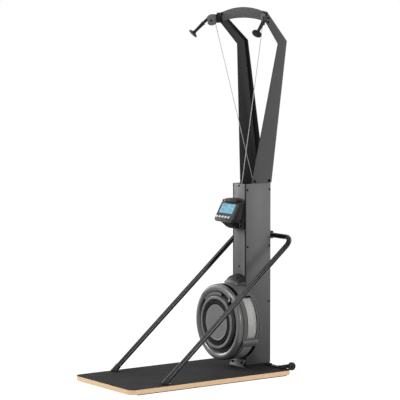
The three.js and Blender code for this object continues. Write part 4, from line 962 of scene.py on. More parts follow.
# Front ring: its bulge is half an ellipse, and its inner wall steps forward to the vents
BULGE_RADIUS = 0.201
BULGE_HALF = 0.021
BULGE_Y = 0.247
BULGE_RISE = 0.0145
BULGE_STEPS = 28
RING_SHARP_ANGLE = math.radians(42)
RING_INNER = 0.137
RING_LIP = ((FAN_RADIUS, 0.2614), (FAN_RADIUS, 0.2545), (0.2202, 0.2538), (0.2202, 0.2502),
            (FAN_RADIUS, 0.2495))
RING_FRONT = ((0.1795, 0.2492), (0.178, 0.2502), (0.1605, 0.2502), (0.1583, 0.2495), (0.1568, 0.2478),
              (0.1552, 0.2302), (0.1544, 0.2274), (0.1524, 0.2262), (0.1506, 0.226), (0.1392, 0.226),
              (0.1376, 0.2266), (RING_INNER, 0.228))
RING_BACK = ((RING_INNER, 0.2335), (0.1495, 0.2335), (0.1535, 0.2532), (0.181, 0.2532), (0.186, 0.246),
             (0.201, 0.238), (0.216, 0.246), (0.219, 0.252), (0.219, 0.2614))


def fan_front_ring():
    turns = [math.pi * i / BULGE_STEPS for i in range(BULGE_STEPS + 1)]
    bulge = [(BULGE_RADIUS + BULGE_HALF * math.cos(turn), BULGE_Y - BULGE_RISE * math.sin(turn))
             for turn in turns]
    piece("fan_front_ring_fine", fan_turned([*RING_LIP, *bulge, *RING_FRONT, *RING_BACK]), "ring_plastic",
          stands_for="fan_front_ring", sharp=RING_SHARP_ANGLE)


# Drum: its wall's profile from the front seam to the back, with the windows in one row of it
DRUM_STEP = math.radians(2.6)
DRUM_SHEET = 0.0026
GROOVE_RADIUS = FAN_RADIUS - 0.0012
DRUM_PROFILE = (
    (FAN_RADIUS, FAN_FRONT), (FAN_RADIUS, 0.2665), (GROOVE_RADIUS, 0.2672), (GROOVE_RADIUS, 0.2698),
    (FAN_RADIUS, 0.2705), (FAN_RADIUS, 0.289), (FRAME_RADIUS, 0.2905), (FRAME_RADIUS, WINDOW_FRONT),
    (FRAME_RADIUS, WINDOW_REAR), (FRAME_RADIUS, 0.3615), (FAN_RADIUS, 0.363), (FAN_RADIUS, 0.3765),
    (0.2245, 0.378), (0.2245, 0.3838), (0.2233, FAN_REAR), (0.195, FAN_REAR), (0.19, 0.3838),
    (0.12, 0.3838), (0.116, FAN_REAR), (0.07, FAN_REAR))
WINDOW_ROW = 7
HUB_PROFILE = ((0.021, 0.3822), (0.07, 0.3822), (0.07, 0.3925), (0.069, 0.3937), (0.021, 0.3937))
HUB_RIBS = 8
HUB_RIB = ((0.03, -0.0015, -0.3935), (0.07, 0.0015, -0.3865))
PANE_LAP = math.radians(0.5)


def angle_stops():
    """Angles round the casing, closer than 3 degrees, that hit the edges of both windows."""
    edges = [WINDOW_LOW, WINDOW_HIGH, math.pi - WINDOW_HIGH, math.pi - WINDOW_LOW, WINDOW_LOW + TURN]
    stops = []
    for start, end in zip(edges, edges[1:]):
        steps = math.ceil((end - start) / DRUM_STEP)
        stops += [start + (end - start) * i / steps for i in range(steps)]
    return stops


def in_window(turn):
    return WINDOW_LOW < turn < WINDOW_HIGH or WINDOW_LOW < math.pi - turn < WINDOW_HIGH


def fan_rear_shell():
    """The drum wall as a sheet with two windows, its rolled rim and its back."""
    stops = angle_stops()
    count = len(stops)
    rings = [[on_fan(turn, radius, y) for turn in stops] for radius, y in DRUM_PROFILE]
    points, faces = loft(rings, capped=False)
    start = WINDOW_ROW * count
    panes = {start + i for i, turn in enumerate(stops) if in_window(turn + PANE_LAP)}
    wall = [face for i, face in enumerate(faces) if i not in panes]
    drum = piece("fan_drum", (points, wall), "shell_plastic", stands_for="fan_rear_shell")
    thicken(drum, DRUM_SHEET, -1)
    ribs = spokes(HUB_RIBS, *HUB_RIB)
    piece("fan_hub", joined(fan_turned(HUB_PROFILE, 72), *ribs), "shell_plastic")


MESH_RADIUS = FAN_RADIUS - 0.0034
MESH_SHEET = 0.0008
MESH_LAP = 0.004
MESH_LAP_ANGLE = math.radians(1.2)
MESH_COLUMNS = 62
MESH_ROWS = 18
MESH_HOLE_SHARE = 0.31
CELL_BORDER = ((1, 0.5), (1, 1), (0.5, 1), (0, 1), (0, 0.5), (0, 0), (0.5, 0), (1, 0))


def mesh_bands():
    """Perforated sheet behind each window: square cells, each with a round hole."""
    start, end = WINDOW_LOW - MESH_LAP_ANGLE, WINDOW_HIGH + MESH_LAP_ANGLE
    front, rear = WINDOW_FRONT - MESH_LAP, WINDOW_REAR + MESH_LAP
    sides = len(CELL_BORDER)
    cell = [*CELL_BORDER, *circle(0.5, 0.5, MESH_HOLE_SHARE, sides)]
    points, faces = [], []
    for column_number in range(MESH_COLUMNS):
        for row in range(MESH_ROWS):
            first = len(points)
            points += [on_fan(start + (end - start) * (column_number + u) / MESH_COLUMNS, MESH_RADIUS,
                              front + (rear - front) * (row + v) / MESH_ROWS) for u, v in cell]
            for here, after in ((first + k, first + (k + 1) % sides) for k in range(sides)):
                faces.append((here, after, after + sides, here + sides))
    for made in both("mesh_fine", (points, faces), "mesh_metal", stands_for="mesh_band_{}"):
        thicken(made, MESH_SHEET, 0)


BLOCK_TURN = math.radians(-28)
BLOCK_FRONT = 0.268
BLOCK_LENGTH = 0.108
BLOCK_WIDTH = 0.042
BLOCK_HEIGHT = 0.0285
BLOCK_ROUND = 0.008
BLOCK_EDGE = 0.0022
BLOCK_FOOT = -0.006
BLOCK_SINK = 0.004
BLOCK_SCREW_RISE = 0.0055


def fan_clamps():
    """Blocks on the casing's lower sides that hold its halves, with a screw at each front end."""
    out = vec(math.cos(BLOCK_TURN), 0, math.sin(BLOCK_TURN))
    up = vec(-math.sin(BLOCK_TURN), 0, math.cos(BLOCK_TURN))
    place = on_fan(BLOCK_TURN, FAN_RADIUS - BLOCK_SINK, BLOCK_FRONT)
    x, y = BLOCK_WIDTH / 2 - BLOCK_ROUND, BLOCK_HEIGHT / 2 - BLOCK_ROUND
    outline = arc(x, y, BLOCK_ROUND, 0, TURN / 4, 8) + arc(-x, y, BLOCK_ROUND, TURN / 4, TURN / 2, 8)
    outline += [(-BLOCK_WIDTH / 2, BLOCK_FOOT), (BLOCK_WIDTH / 2, BLOCK_FOOT)]
    both("fan_clamp", prism(outline, BLOCK_LENGTH, basis(up, out, up.cross(out), place)), "ring_plastic",
         bevel=BLOCK_EDGE, bevel_steps=3)
    both("fan_clamp_screw", bolt_head(*BLOCK_SCREW, place + out * BLOCK_SCREW_RISE, -Y), "blackened_bolt")


LINE_SINK = 0.001
LINE_RISE = 0.0003
LINE_WIDTH = 0.0018
LINE_STARTS = (WINDOW_FRONT - 0.0022, WINDOW_REAR + 0.0004)
LINE_LAP = 0.002
LINE_TURN = math.radians(3)
SEAM_INNER = FAN_RADIUS - 0.0006
SEAM_OUTER = 0.2235
SEAMS = ((0.2622, 0.2648), (0.3763, 0.3787))
# A black band on the top of the drum behind the ring: painted shade.
TOP_SHADE_BAND = (0.2645, 0.284)
TOP_SHADE_START = math.radians(50)
TOP_SHADE_END = math.radians(130)
GUARD = (0.291, 0.3535)
GUARD_SEAM = (0.3536, 0.3735)
GUARD_OUTER = 0.2236
GUARD_START = math.radians(-66)
GUARD_END = math.radians(-35.5)


def casing_lines():
    """Dark lines round each window and at the drum's seams, a black band of painted shade on the drum's top
    behind the ring, and the guard below each clamp block.
    """
    def guard(span):
        return fan_sector(band(SEAM_INNER, GUARD_OUTER, *span), GUARD_START, GUARD_END)

    inner, outer = FRAME_RADIUS - LINE_SINK, FRAME_RADIUS + LINE_RISE
    lines = [fan_sector(band(inner, outer, y, y + LINE_WIDTH), WINDOW_LOW, WINDOW_HIGH)
             for y in LINE_STARTS]
    lines.append(fan_sector(band(inner, outer, WINDOW_FRONT - LINE_LAP, WINDOW_REAR + LINE_LAP),
                            WINDOW_HIGH, WINDOW_HIGH + LINE_TURN, 4))
    both("window_lines", joined(*lines), "vent_black")
    both("lower_guard", guard(GUARD), "guard_plastic")
    both("guard_seam", guard(GUARD_SEAM), "vent_black")
    around = [fan_turned(band(SEAM_INNER, SEAM_OUTER, *span)) for span in SEAMS]
    # The band on the drum's top is painted shade.
    around.append(fan_sector(band(SEAM_INNER, SEAM_OUTER, *TOP_SHADE_BAND), TOP_SHADE_START, TOP_SHADE_END))
    piece("casing_seams_and_top_shade", joined(*around), "vent_black")


VENT_OUTER = 0.1367
VENT_PITCH = 0.009
VENT_WIDTH = 0.004
VENT_RINGS = 4
VENT_ROUND = 0.0012
VENT_BACK = 0.232
VENT_EDGE = 0.2292
VENT_FRONT = 0.2281
VENT_FLOOR = (0.1, 0.1365, 0.2312, 0.2325)
VENT_SPOKES = 6
VENT_SPOKE = ((0.106, -0.003, -0.2345), (0.136, 0.003, -0.2298))
# Thin pale rings on the vent bars' front edges: painted highlights.
VENT_HIGHLIGHT_RADII = (0.1315, 0.1235, 0.1155)
VENT_HIGHLIGHT_WIDTH = 0.0008
VENT_HIGHLIGHT_SPAN = (0.2276, 0.2283)


def vents():
    rings = [fan_turned(band(*VENT_FLOOR))]
    for outer in (VENT_OUTER - i * VENT_PITCH for i in range(VENT_RINGS)):
        inner = outer - VENT_WIDTH
        rings.append(fan_turned([(outer, VENT_BACK), (outer, VENT_EDGE), (outer - VENT_ROUND, VENT_FRONT),
                                 (inner + VENT_ROUND, VENT_FRONT), (inner, VENT_EDGE), (inner, VENT_BACK)]))
    rings += spokes(VENT_SPOKES, *VENT_SPOKE)
    piece("vent_ring_fine", joined(*rings), "vent_black", stands_for="vent_ring")
    # Pale rings on the vent bars: painted highlights of their rounded fronts.
    lines = [fan_turned(band(radius - VENT_HIGHLIGHT_WIDTH, radius, *VENT_HIGHLIGHT_SPAN)) for radius in VENT_HIGHLIGHT_RADII]
    piece("vent_highlight_rings", joined(*lines), "disc_plastic")


DISC_RADIUS = 0.1052
DISC_BACK = 0.2311
DISC_THICKNESS = 0.003
DISC_RIM = ((DISC_RADIUS, 0.2276), (DISC_RADIUS, 0.2305), (0.0972, 0.2305), (0.0972, 0.2284),
            (0.0985, 0.2276))
HOLE_RADIUS = 0.0014
HOLE_PITCH = 0.0062
HOLE_ROW = HOLE_PITCH * 0.866
HOLE_FIELD = 0.094


def centre_disc():
    """A disc pierced all over in staggered rows, with a plain rim."""
    rows, columns = int(HOLE_FIELD / HOLE_ROW), math.ceil(HOLE_FIELD / HOLE_PITCH)
    places = [((column_number + (row % 2) / 2) * HOLE_PITCH, row * HOLE_ROW)
              for row in range(-rows, rows + 1) for column_number in range(-columns, columns + 1)]
    holes = [circle(x, y, HOLE_RADIUS, 6) for x, y in places if math.hypot(x, y) < HOLE_FIELD]
    place = basis(X, Z, -Y, (0, DISC_BACK, SHAFT_Z))
    disc = plate(circle(0, 0, DISC_RADIUS, 96), DISC_THICKNESS, place, holes=holes)
    piece("centre_disc_fine", disc, "disc_plastic", stands_for="centre_disc")
    piece("centre_disc_rim", fan_turned(DISC_RIM), "disc_plastic")


SCALE_FROM = math.radians(38)
SCALE_CLEAR = math.radians(76)
SCALE_TO = math.radians(134)
SCALE_RISE = 0.0007
SCALE_SINK = -0.0006
# Inner radius, outer radius and steps between them
OUTER_SCALE = (0.1975, 0.215, 8)
INNER_SCALE = (0.1825, 0.195, 6)
GROOVE_COVER = ((0.1605, 0.2352), (0.1625, 0.2342), (0.1785, 0.2338), (0.1785, 0.2372), (0.1605, 0.2376))
WALL_COVER = ((0.139, 0.2254), (0.151, 0.2254), (0.1535, 0.2264), (0.1535, 0.2275), (0.139, 0.2275))


def scale_plates():
    """Pale plates over the upper front of the casing, clear of the lever's travel."""
    def on_bulge(start, end, steps):
        points = []
        for lift, order in ((SCALE_RISE, range(steps + 1)), (SCALE_SINK, range(steps, -1, -1))):
            for radius in (start + (end - start) * i / steps for i in order):
                share = (radius - BULGE_RADIUS) / BULGE_HALF
                points.append((radius, BULGE_Y - BULGE_RISE * math.sqrt(1 - share * share) - lift))
        return points

    shapes = [fan_sector(on_bulge(*OUTER_SCALE), SCALE_FROM, SCALE_TO),
              fan_sector(on_bulge(*INNER_SCALE), SCALE_CLEAR, SCALE_TO),
              fan_sector(GROOVE_COVER, SCALE_CLEAR, SCALE_TO), fan_sector(WALL_COVER, SCALE_FROM, SCALE_TO)]
    piece("scale_plates", joined(*shapes), "scale_plastic")


# Damper ring with its lever, in a place whose X axis runs along the lever

DAMPER_TURN = math.radians(48)
DAMPER_TRAVEL = 25
DAMPER_RING = ((0.1587, 0.2497), (0.1768, 0.2497), (0.1768, 0.2475), (0.176, 0.2467), (0.1595, 0.2467),
               (0.1587, 0.2475))
LEVER_Y = 0.2323
LEVER_THICKNESS = 0.0046
LEVER_SIDE = ((0.205, 0.0082), (0.19, 0.009), (0.1615, 0.0072))
LEVER_TIP = 0.0085
LEVER_EDGE = 0.0012
LEVER_ROOT = ((0.1625, -0.0055, -0.0155), (0.174, 0.0055, 0.001))
RIB_START = 0.186
RIB_PITCH = 0.0052
RIB_COUNT = 4
RIB_WIDTH = 0.0018
RIB_HALF = 0.0066
RIB_LOW = 0.0044
RIB_HIGH = 0.0062
TICK_COUNT = 11
TICK_START = 0.1398
TICK_HALF = 0.0005
TICK_LONG = 0.006
TICK_SHORT = 0.0035
TICK_Y = 0.2259
INK_RISE = 0.0002


def damper():
    place = fan_basis(DAMPER_TURN, LEVER_Y)
    tip_x, tip_half = LEVER_SIDE[0]
    turns = [-TURN / 4 + math.pi * i / 10 for i in range(1, 10)]
    outline = [(x, -y) for x, y in reversed(LEVER_SIDE)]
    outline += [(tip_x + LEVER_TIP * math.cos(turn), tip_half * math.sin(turn)) for turn in turns]
    lever = plate([*outline, *LEVER_SIDE], LEVER_THICKNESS, place, edge=LEVER_EDGE, edge_steps=3)
    root = moved(box(*LEVER_ROOT), place)
    ring = joined(fan_turned(DAMPER_RING), lever, root)
    piece("damper_fine", ring, "black_plastic", "damper", "damper_ring")
    ribs = [moved(box((x, -RIB_HALF, RIB_LOW), (x + RIB_WIDTH, RIB_HALF, RIB_HIGH)), place)
            for x in (RIB_START + RIB_PITCH * i for i in range(RIB_COUNT))]
    piece("damper_ribs", joined(*ribs), "legend_grey", "damper")


def damper_scale():
    """Tick marks on the casing beside the lever, every fifth one longer."""
    marks = []
    for i in range(TICK_COUNT):
        turn = DAMPER_TURN + math.radians(DAMPER_TRAVEL * (2 * i / (TICK_COUNT - 1) - 1))
        end = TICK_START + (TICK_LONG if i % 5 == 0 else TICK_SHORT)
        mark = box((TICK_START, -TICK_HALF, 0), (end, TICK_HALF, INK_RISE))
        marks.append(moved(mark, fan_basis(turn, TICK_Y)))
    piece("damper_ticks", joined(*marks), "legend_grey")


# Hood

HOOD_CROWN = 0.016
HOOD_DROP = 0.064
HOOD_RUN = 0.0637
HOOD_FLOOR = 0.2248
HOOD_ACROSS = 32
HOOD_ALONG = 20
HOOD_SCREW_X = 0.038
HOOD_SCREW_LEAN = 0.25
HOOD_SCREW_TURN = math.radians(38)
SKIRT_HEIGHT = 0.014
SKIRT_SIDES = 8
SKIRT_FOOT_OUT = 0.0045
SKIRT_ROUND_OUT = 0.0035
SKIRT_ROUND_UP = 0.003
SKIRT_HEAD_OUT = 0.0009
SKIRT_SINK = 0.002
HOOD_EDGE = 0.0012


def hood():
    """A dome that drops to the casing as a quarter round, with a skirt round its foot."""
    low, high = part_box("hood")
    half, rear, top_z = high.x, high.y, high.z
    crown = (half * half + HOOD_CROWN * HOOD_CROWN) / (2 * HOOD_CROWN)

    def ridge(x):
        return top_z - crown + math.sqrt(crown * crown - x * x)

    def floor(x):
        return SHAFT_Z + math.sqrt(HOOD_FLOOR * HOOD_FLOOR - x * x)

    def foot_turn(x, lift=0.0):
        return math.acos(1 - (ridge(x) - floor(x) - lift) / HOOD_DROP)

    def skin(x, turn):
        return vec(x, rear - HOOD_RUN * math.sin(turn), ridge(x) - HOOD_DROP * (1 - math.cos(turn)))

    columns = [-half + 2 * half * i / HOOD_ACROSS for i in range(HOOD_ACROSS + 1)]
    upper = [skin(x, foot_turn(x) * (1 - k / HOOD_ALONG)) for x in columns for k in range(HOOD_ALONG + 1)]
    lower = [vec(point.x, point.y, floor(point.x)) for point in upper]
    total, width = len(upper), HOOD_ALONG + 1
    faces = []
    for start in (i * width for i in range(HOOD_ACROSS)):
        for k in range(start, start + HOOD_ALONG):
            quad = (k, k + width, k + width + 1, k + 1)
            faces += [quad, tuple(total + corner for corner in quad)]
        back = start + HOOD_ALONG
        faces.append((back, back + width, total + back + width, total + back))
    for edge in (0, HOOD_ACROSS * width):
        faces += [(k, k + 1, total + k + 1, total + k) for k in range(edge, edge + HOOD_ALONG)]
    piece("hood_fine", (upper + lower, faces), "hood_plastic", stands_for="hood", bevel=HOOD_EDGE)

    def skirt_ring(foot, head, out):
        return [foot + out * SKIRT_FOOT_OUT, foot + out * SKIRT_ROUND_OUT + Z * SKIRT_ROUND_UP,
                head + out * SKIRT_HEAD_OUT, head - out * SKIRT_SINK, foot - out * SKIRT_SINK]

    def skirt_wall(side):
        start = skin(side * half, foot_turn(half)).y
        feet = [vec(side * half, start + (rear - start) * i / SKIRT_SIDES, floor(half))
                for i in range(SKIRT_SIDES + 1)]
        return [skirt_ring(foot, foot + Z * SKIRT_HEIGHT, side * X) for foot in feet]

    front = [skirt_ring(skin(x, foot_turn(x)), skin(x, foot_turn(x, SKIRT_HEIGHT)), -Y)
             for x in columns[1:-1]]
    piece("hood_skirt", loft([*reversed(skirt_wall(-1)), *front, *skirt_wall(1)]), "skirt_plastic")
    slope = (-HOOD_DROP * math.sin(HOOD_SCREW_TURN), HOOD_RUN * math.cos(HOOD_SCREW_TURN))
    bolts("hood_screws", [bolt_head(*HOOD_SCREW, skin(side * HOOD_SCREW_X, HOOD_SCREW_TURN),
                                    vec(side * HOOD_SCREW_LEAN, *slope)) for side in (1, -1)])


# Console front: its face, its screen's window and the openings of its buttons

CONSOLE_TILT = math.radians(29.2)
CONSOLE_PLACE = vec(0, 0.3049, 0.9483)
CONSOLE_WIDTH = 0.178
CONSOLE_HEIGHT = 0.128
CONSOLE_DEPTH = 0.012
CONSOLE_CORNER = 0.018
CONSOLE_EDGE = 0.0016
BACK_INSET = 0.003
BACK_CORNER = 0.015
BACK_THICKNESS = 0.0008
BACK_LIFT = 0.0002
SCREEN_SIZE = (0.129, 0.061)
SCREEN_PLACE = (-0.009, 0.018)
SCREEN_CORNER = 0.002
BUTTON_SIZE = (0.02, 0.013)
BUTTON_CORNER = 0.005
BUTTON_PITCH = 0.0285
BUTTON_X = -0.016
BUTTON_Y = -0.037

face_up = vec(0, math.sin(CONSOLE_TILT), math.cos(CONSOLE_TILT))
face_out = vec(0, -math.cos(CONSOLE_TILT), math.sin(CONSOLE_TILT))
face_frame = basis(X, face_up, face_out, CONSOLE_PLACE)


def on_face(depth):
    return face_frame @ Matrix.Translation((0, 0, -depth))


def console_front():
    holes = [rounded_rectangle(*SCREEN_SIZE, SCREEN_CORNER, *SCREEN_PLACE, 4)]
    holes += [rounded_rectangle(*BUTTON_SIZE, BUTTON_CORNER, BUTTON_X + i * BUTTON_PITCH, BUTTON_Y, 5)
              for i in range(-2, 3)]
    front = plate(rounded_rectangle(CONSOLE_WIDTH, CONSOLE_HEIGHT, CONSOLE_CORNER), CONSOLE_DEPTH,
                  on_face(CONSOLE_DEPTH), CONSOLE_EDGE, holes, 3)
    width, height = (size - 2 * BACK_INSET for size in (CONSOLE_WIDTH, CONSOLE_HEIGHT))
    back = plate(rounded_rectangle(width, height, BACK_CORNER), BACK_THICKNESS,
                 on_face(CONSOLE_DEPTH - BACK_LIFT))
    piece("console_face", joined(front, back), "console_plastic", "console", "console_front_shell")


# Plain figures on the display, of seven bars each

SEGMENTS = {"0": "abcdef", "1": "bc", "2": "abged", "3": "abgcd", "4": "fgbc", "5": "afgcd",
            "6": "afgedc", "7": "abc", "8": "abcdefg", "9": "abcdfg"}
# Text, place of its lower left corner, width and height of a digit, width of its bars
NUMBERS = (("12:30", -0.056, 0.008, 0.0085, 0.016, 0.0022), ("145", 0.018, 0.008, 0.0085, 0.016, 0.0022),
           ("2500", -0.056, -0.014, 0.0065, 0.012, 0.0017), ("68", 0.026, -0.014, 0.0065, 0.012, 0.0017))
INK_DEPTH = 0.0008
COLON_RISES = (0.3, 0.62)
COLON_STEP = 2.2
DIGIT_GAP = 1.6
CHART_BARS = 14
CHART_LOW = 0.002
CHART_SWING = 0.0035
CHART_WAVE = (0.9, 0.4)
CHART_PITCH = 0.0075
CHART_BAR = 0.005
CHART_PLACE = (-0.055, -0.0265)
RULES = ((-0.058, 0.0035), (-0.058, -0.0185))
RULE_LENGTH = 0.116
RULE_WIDTH = 0.0008


def digit_bars(digit, width, height, bar):
    """Bars of a seven-bar digit as (low x, low y, high x, high y) from its lower left corner."""
    middle = height / 2
    bars = {"a": (0, height - bar, width, height), "d": (0, 0, width, bar),
            "g": (0, middle - bar / 2, width, middle + bar / 2),
            "f": (0, middle, bar, height), "b": (width - bar, middle, width, height),
            "e": (0, 0, bar, middle), "c": (width - bar, 0, width, middle)}
    return [bars[name] for name in SEGMENTS[digit]]


def number_bars(text, width, height, bar):
    """Bars of a number, digit by digit, with a colon as two dots."""
    bars = []
    cursor = 0.0
    for sign in text:
        if sign == ":":
            found = [(0, rise * height, bar, rise * height + bar) for rise in COLON_RISES]
            step = COLON_STEP * bar
        else:
            found = digit_bars(sign, width, height, bar)
            step = width + DIGIT_GAP * bar
        bars += [(cursor + x0, y0, cursor + x1, y1) for x0, y0, x1, y1 in found]
        cursor += step
    return bars


def console_figures():
    """Plain numbers, a chart and two rules on the display."""
    shapes = []

    def ink(bars, x, y):
        place = on_face(INK_DEPTH) @ Matrix.Translation((SCREEN_PLACE[0] + x, SCREEN_PLACE[1] + y, 0))
        shapes.extend(moved(box((x0, y0, 0), (x1, y1, INK_RISE)), place) for x0, y0, x1, y1 in bars)

    for text, x, y, width, height, bar in NUMBERS:
        ink(number_bars(text, width, height, bar), x, y)
    pace, phase = CHART_WAVE
    heights = [CHART_LOW + CHART_SWING * abs(math.sin(pace * i + phase)) for i in range(CHART_BARS)]
    chart = [(CHART_PITCH * i, 0, CHART_PITCH * i + CHART_BAR, tall) for i, tall in enumerate(heights)]
    ink(chart, *CHART_PLACE)
    for place in RULES:
        ink([(0, 0, RULE_LENGTH, RULE_WIDTH)], *place)
    piece("screen_figures", joined(*shapes), "screen_ink", "console")


# Console back: rings from the front shell to the rear as y, z, tilt, half width, half height, corner radius

SHELL_RINGS = ((0.336, 0.9472, 18, 0.0825, 0.0695, 0.022), (0.347, 0.9492, 14, 0.08, 0.071, 0.025),
               (0.358, 0.9518, 10, 0.075, 0.0705, 0.028), (0.368, 0.954, 7, 0.068, 0.069, 0.03),
               (0.376, 0.9555, 5, 0.061, 0.067, 0.03), (0.3805, 0.956, 4, 0.057, 0.065, 0.028),
               (0.3822, 0.956, 3, 0.052, 0.06, 0.025))
# The rings next to the front shell, as y and z from its back and sizes from its inset outline
SEAM_RINGS = ((0, 0, 29.2, -0.002, -0.002, 0.016), (0.0018, 0.0001, 28.8, 0, 0, 0.018),
              (0.01, 0.0005, 25.5, 0.0002, 0.0025, 0.019), (0.0112, 0.0006, 25, -0.0018, 0.0005, 0.018),
              (0.0132, 0.0008, 24.3, -0.0018, 0.0005, 0.018), (0.0144, 0.001, 23.8, -0.0004, 0.0035, 0.019))
TOP_RIBS = ((0.3235, 1.0115, 0.066), (0.3375, 1.0155, 0.062), (0.3515, 1.018, 0.056))
TOP_RIB_RADIUS = 0.0045
TOP_RIB_DROP = 0.006
BELLY_CENTRE = (0.318, 0.886)
BELLY_OUTLINE = ((0.284, 0.9), (0.2835, 0.893), (0.296, 0.8845), (0.312, 0.873), (0.327, 0.8605),
                 (0.338, 0.8525), (0.3455, 0.8495), (0.3495, 0.852), (0.3495, 0.886), (0.34, 0.9))
BELLY_SHARES = ((-0.052, 0.86), (-0.0495, 0.96), (-0.046, 1), (0.046, 1), (0.0495, 0.96), (0.052, 0.86))
HINGE_Y = 0.368
HINGE_Z = 0.862
EYE_SIDE = ((0.0095, 0.0168), (0.0088, 0.0177), (0.0046, 0.0177))
NECK = ((-0.0175, 0.3605, 0.8695), (0.0175, 0.3755, 0.893))


def shell_ring(y, z, tilt, half_width, half_height, corner):
    turn = math.radians(tilt)
    up = vec(0, math.sin(turn), math.cos(turn))
    place = basis(X, up, X.cross(up), (0, y, z))
    return [place @ vec(x, rise, 0) for x, rise in
            rounded_rectangle(2 * half_width, 2 * half_height, corner, steps=8)]


def console_rear():
    start = face_frame @ vec(0, 0, -CONSOLE_DEPTH - FIT)
    half_width, half_height = CONSOLE_WIDTH / 2 - BACK_INSET, CONSOLE_HEIGHT / 2 - BACK_INSET
    rings = [shell_ring(start.y + y, start.z + z, tilt, half_width + wide, half_height + tall, corner)
             for y, z, tilt, wide, tall, corner in SEAM_RINGS]
    rings += [shell_ring(*ring) for ring in SHELL_RINGS]
    ribs = []
    drop = TOP_RIB_DROP
    for y, z, half in TOP_RIBS:
        ends = ((-half, drop), (drop - half, 0), (half - drop, 0), (half, drop))
        ribs.append(sweep([vec(x, y, z - fall) for x, fall in ends], TOP_RIB_RADIUS, 12))
    middle_y, middle_z = BELLY_CENTRE
    belly = loft([[vec(x, middle_y + (y - middle_y) * share, middle_z + (z - middle_z) * share)
                   for y, z in BELLY_OUTLINE] for x, share in BELLY_SHARES])
    # The belly's darker look paints the shade under the console.
    piece("console_belly", belly, "shaded_belly_plastic", "console")
    eye = [(radius, -along) for radius, along in reversed(EYE_SIDE)] + list(EYE_SIDE)
    neck = box(*NECK)
    piece("console_back", joined(loft(rings), *ribs), "console_plastic", "console", "console_rear_shell")
    hinge_eye = turned(eye, 40, facing((0, HINGE_Y, HINGE_Z), X))
    piece("console_neck", joined(hinge_eye, neck), "console_plastic", "console")


def console_cradle():
    side_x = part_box("console_cradle")[1].x
    bolts("cradle_pin_caps", [bolt_head(*PIN_CAP, (side * side_x, HINGE_Y, HINGE_Z), side * X)
                              for side in (1, -1)])


# Stage: a pale floor and world that the camera and reflections see as white

FLOOR_REACH = 60
FLOOR_GREY = 0.6
FLOOR_ROUGHNESS = 0.9
FLOOR_GLOW = 1.16
FLOOR_GLOW_SHARE = 0.84
WORLD_LIGHT = 0.38
WHITE = (1, 1, 1, 1)

# Lamps: name, place, aim, size, power
LAMPS = (
    ("key", (-2.4, -5.5, 4.4), (0, 0.2, 1.0), 2.0, 330),
    ("side", (6.0, 1.2, 2.2), (0, 0.4, 1.0), 1.5, 190),
    ("top", (0.6, -1.6, 5.5), (0, 0.2, 0.6), 1.2, 90),
    ("back", (1.0, 5.0, 3.6), (0, 0.3, 1.2), 2.5, 60),
    ("left", (-4.3, -0.8, 1.95), (0, 0.25, 0.4), 2.0, 60),
    ("left_low", (-4.3, -1.15, 0.95), (0, 0.25, 0.4), 1.3, 30),
)

# Camera, solved from the photograph of 400 x 400 pixels
PHOTO_SIZE = 400
PHOTO_FOCAL = 1943
PHOTO_AZIMUTH = math.radians(54.88)
PHOTO_PITCH = math.radians(5.07)
PHOTO_ROLL = math.radians(0.08)
PHOTO_AXIS_X = 199.9
PHOTO_AXIS_Y = 200.3
CAMERA_PLACE = (9.114, -6.297, 2.011)
CAMERA_NEAR = 0.1
CAMERA_FAR = 300
SENSOR_MM = 36


def math_node(tree, operation, first, second):
    made = tree.nodes.new("ShaderNodeMath")
    made.operation = operation
    tree.links.new(first, made.inputs[0])
    if isinstance(second, float):
        made.inputs[1].default_value = second
    else:
        tree.links.new(second, made.inputs[1])
    return made.outputs[0]


def ray_share(tree, *rays):
    """1 for rays of these kinds and 0 for all others."""
    path = tree.nodes.new("ShaderNodeLightPath")
    share = path.outputs[rays[0]]
    for ray in rays[1:]:
        share = math_node(tree, "MAXIMUM", share, path.outputs[ray])
    return share


def white_shader(tree, kind, strength):
    made = tree.nodes.new(kind)
    made.inputs["Color"].default_value = WHITE
    made.inputs["Strength"].default_value = strength
    return made


def surface_of(tree, output, share, first, second):
    """The output's surface, the first shader with a share of the second."""
    mix = tree.nodes.new("ShaderNodeMixShader")
    tree.links.new(share, mix.inputs["Fac"])
    tree.links.new(first.outputs[0], mix.inputs[1])
    tree.links.new(second.outputs[0], mix.inputs[2])
    tree.links.new(mix.outputs[0], tree.nodes[output].inputs["Surface"])


def stage_floor():
    mesh = bpy.data.meshes.new("floor")
    reach = FLOOR_REACH
    mesh.from_pydata([(-reach, -reach, 0), (reach, -reach, 0), (reach, reach, 0), (-reach, reach, 0)], [],
                     [(0, 1, 2, 3)])
    floor = bpy.data.objects.new("floor", mesh)
    bpy.context.scene.collection.objects.link(floor)
    made = bpy.data.materials.new("floor")
    made.use_nodes = True
    tree = made.node_tree
    shader = tree.nodes["Principled BSDF"]
    shader.inputs["Base Color"].default_value = (FLOOR_GREY, FLOOR_GREY, FLOOR_GREY, 1)
    shader.inputs["Roughness"].default_value = FLOOR_ROUGHNESS
    shader.inputs["Specular IOR Level"].default_value = 0
    seen = ray_share(tree, "Is Camera Ray", "Is Glossy Ray")
    share = math_node(tree, "MULTIPLY", seen, FLOOR_GLOW_SHARE)
    surface_of(tree, "Material Output", share, shader, white_shader(tree, "ShaderNodeEmission", FLOOR_GLOW))
    mesh.materials.append(made)


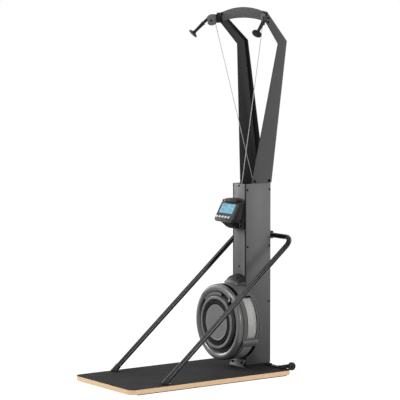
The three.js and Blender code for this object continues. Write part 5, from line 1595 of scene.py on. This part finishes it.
def world():
    made = bpy.data.worlds.new("studio")
    bpy.context.scene.world = made
    made.use_nodes = True
    tree = made.node_tree
    light = tree.nodes["Background"]
    light.inputs["Color"].default_value = WHITE
    light.inputs["Strength"].default_value = WORLD_LIGHT
    seen = ray_share(tree, "Is Camera Ray", "Is Glossy Ray", "Is Transmission Ray")
    surface_of(tree, "World Output", seen, light, white_shader(tree, "ShaderNodeBackground", 1))


def lamps():
    for name, place, aim, size, power in LAMPS:
        data = bpy.data.lights.new(name, "AREA")
        data.shape = "SQUARE"
        data.size = size
        data.energy = power
        lamp = bpy.data.objects.new(name, data)
        bpy.context.scene.collection.objects.link(lamp)
        lamp.location = place
        lamp.rotation_mode = "QUATERNION"
        lamp.rotation_quaternion = (Vector(aim) - Vector(place)).to_track_quat("-Z", "Y")


def camera():
    data = bpy.data.cameras.new("photo_view")
    data.sensor_width = SENSOR_MM
    data.lens = SENSOR_MM * PHOTO_FOCAL / PHOTO_SIZE
    data.shift_x = (PHOTO_SIZE / 2 - PHOTO_AXIS_X) / PHOTO_SIZE
    data.shift_y = (PHOTO_AXIS_Y - PHOTO_SIZE / 2) / PHOTO_SIZE
    data.clip_start = CAMERA_NEAR
    data.clip_end = CAMERA_FAR
    seer = bpy.data.objects.new("photo_view", data)
    bpy.context.scene.collection.objects.link(seer)
    seer.location = CAMERA_PLACE
    level = math.cos(PHOTO_PITCH)
    ahead = vec(-math.sin(PHOTO_AZIMUTH) * level, math.cos(PHOTO_AZIMUTH) * level, -math.sin(PHOTO_PITCH))
    roll = Matrix.Rotation(PHOTO_ROLL, 3, ahead)
    seer.rotation_mode = "QUATERNION"
    seer.rotation_quaternion = (roll @ ahead.to_track_quat("-Z", "Y").to_matrix()).to_quaternion()
    bpy.context.scene.camera = seer


camera()
world()
lamps()
stage_floor()
for names, look, edge, edge_steps in KEPT:
    for name in names.split():
        keep(name, look, edge, edge_steps)
for build in (platform, base, transport_wheels, column, arms, arch, pulley_housings, handles, cords, brace,
              fan_front_ring, fan_rear_shell, mesh_bands, fan_clamps, vents, centre_disc, casing_lines,
              scale_plates, damper, damper_scale, hood, console_front, console_figures, console_rear,
              console_cradle):
    build()

bpy.context.scene.view_settings.view_transform = "Standard"
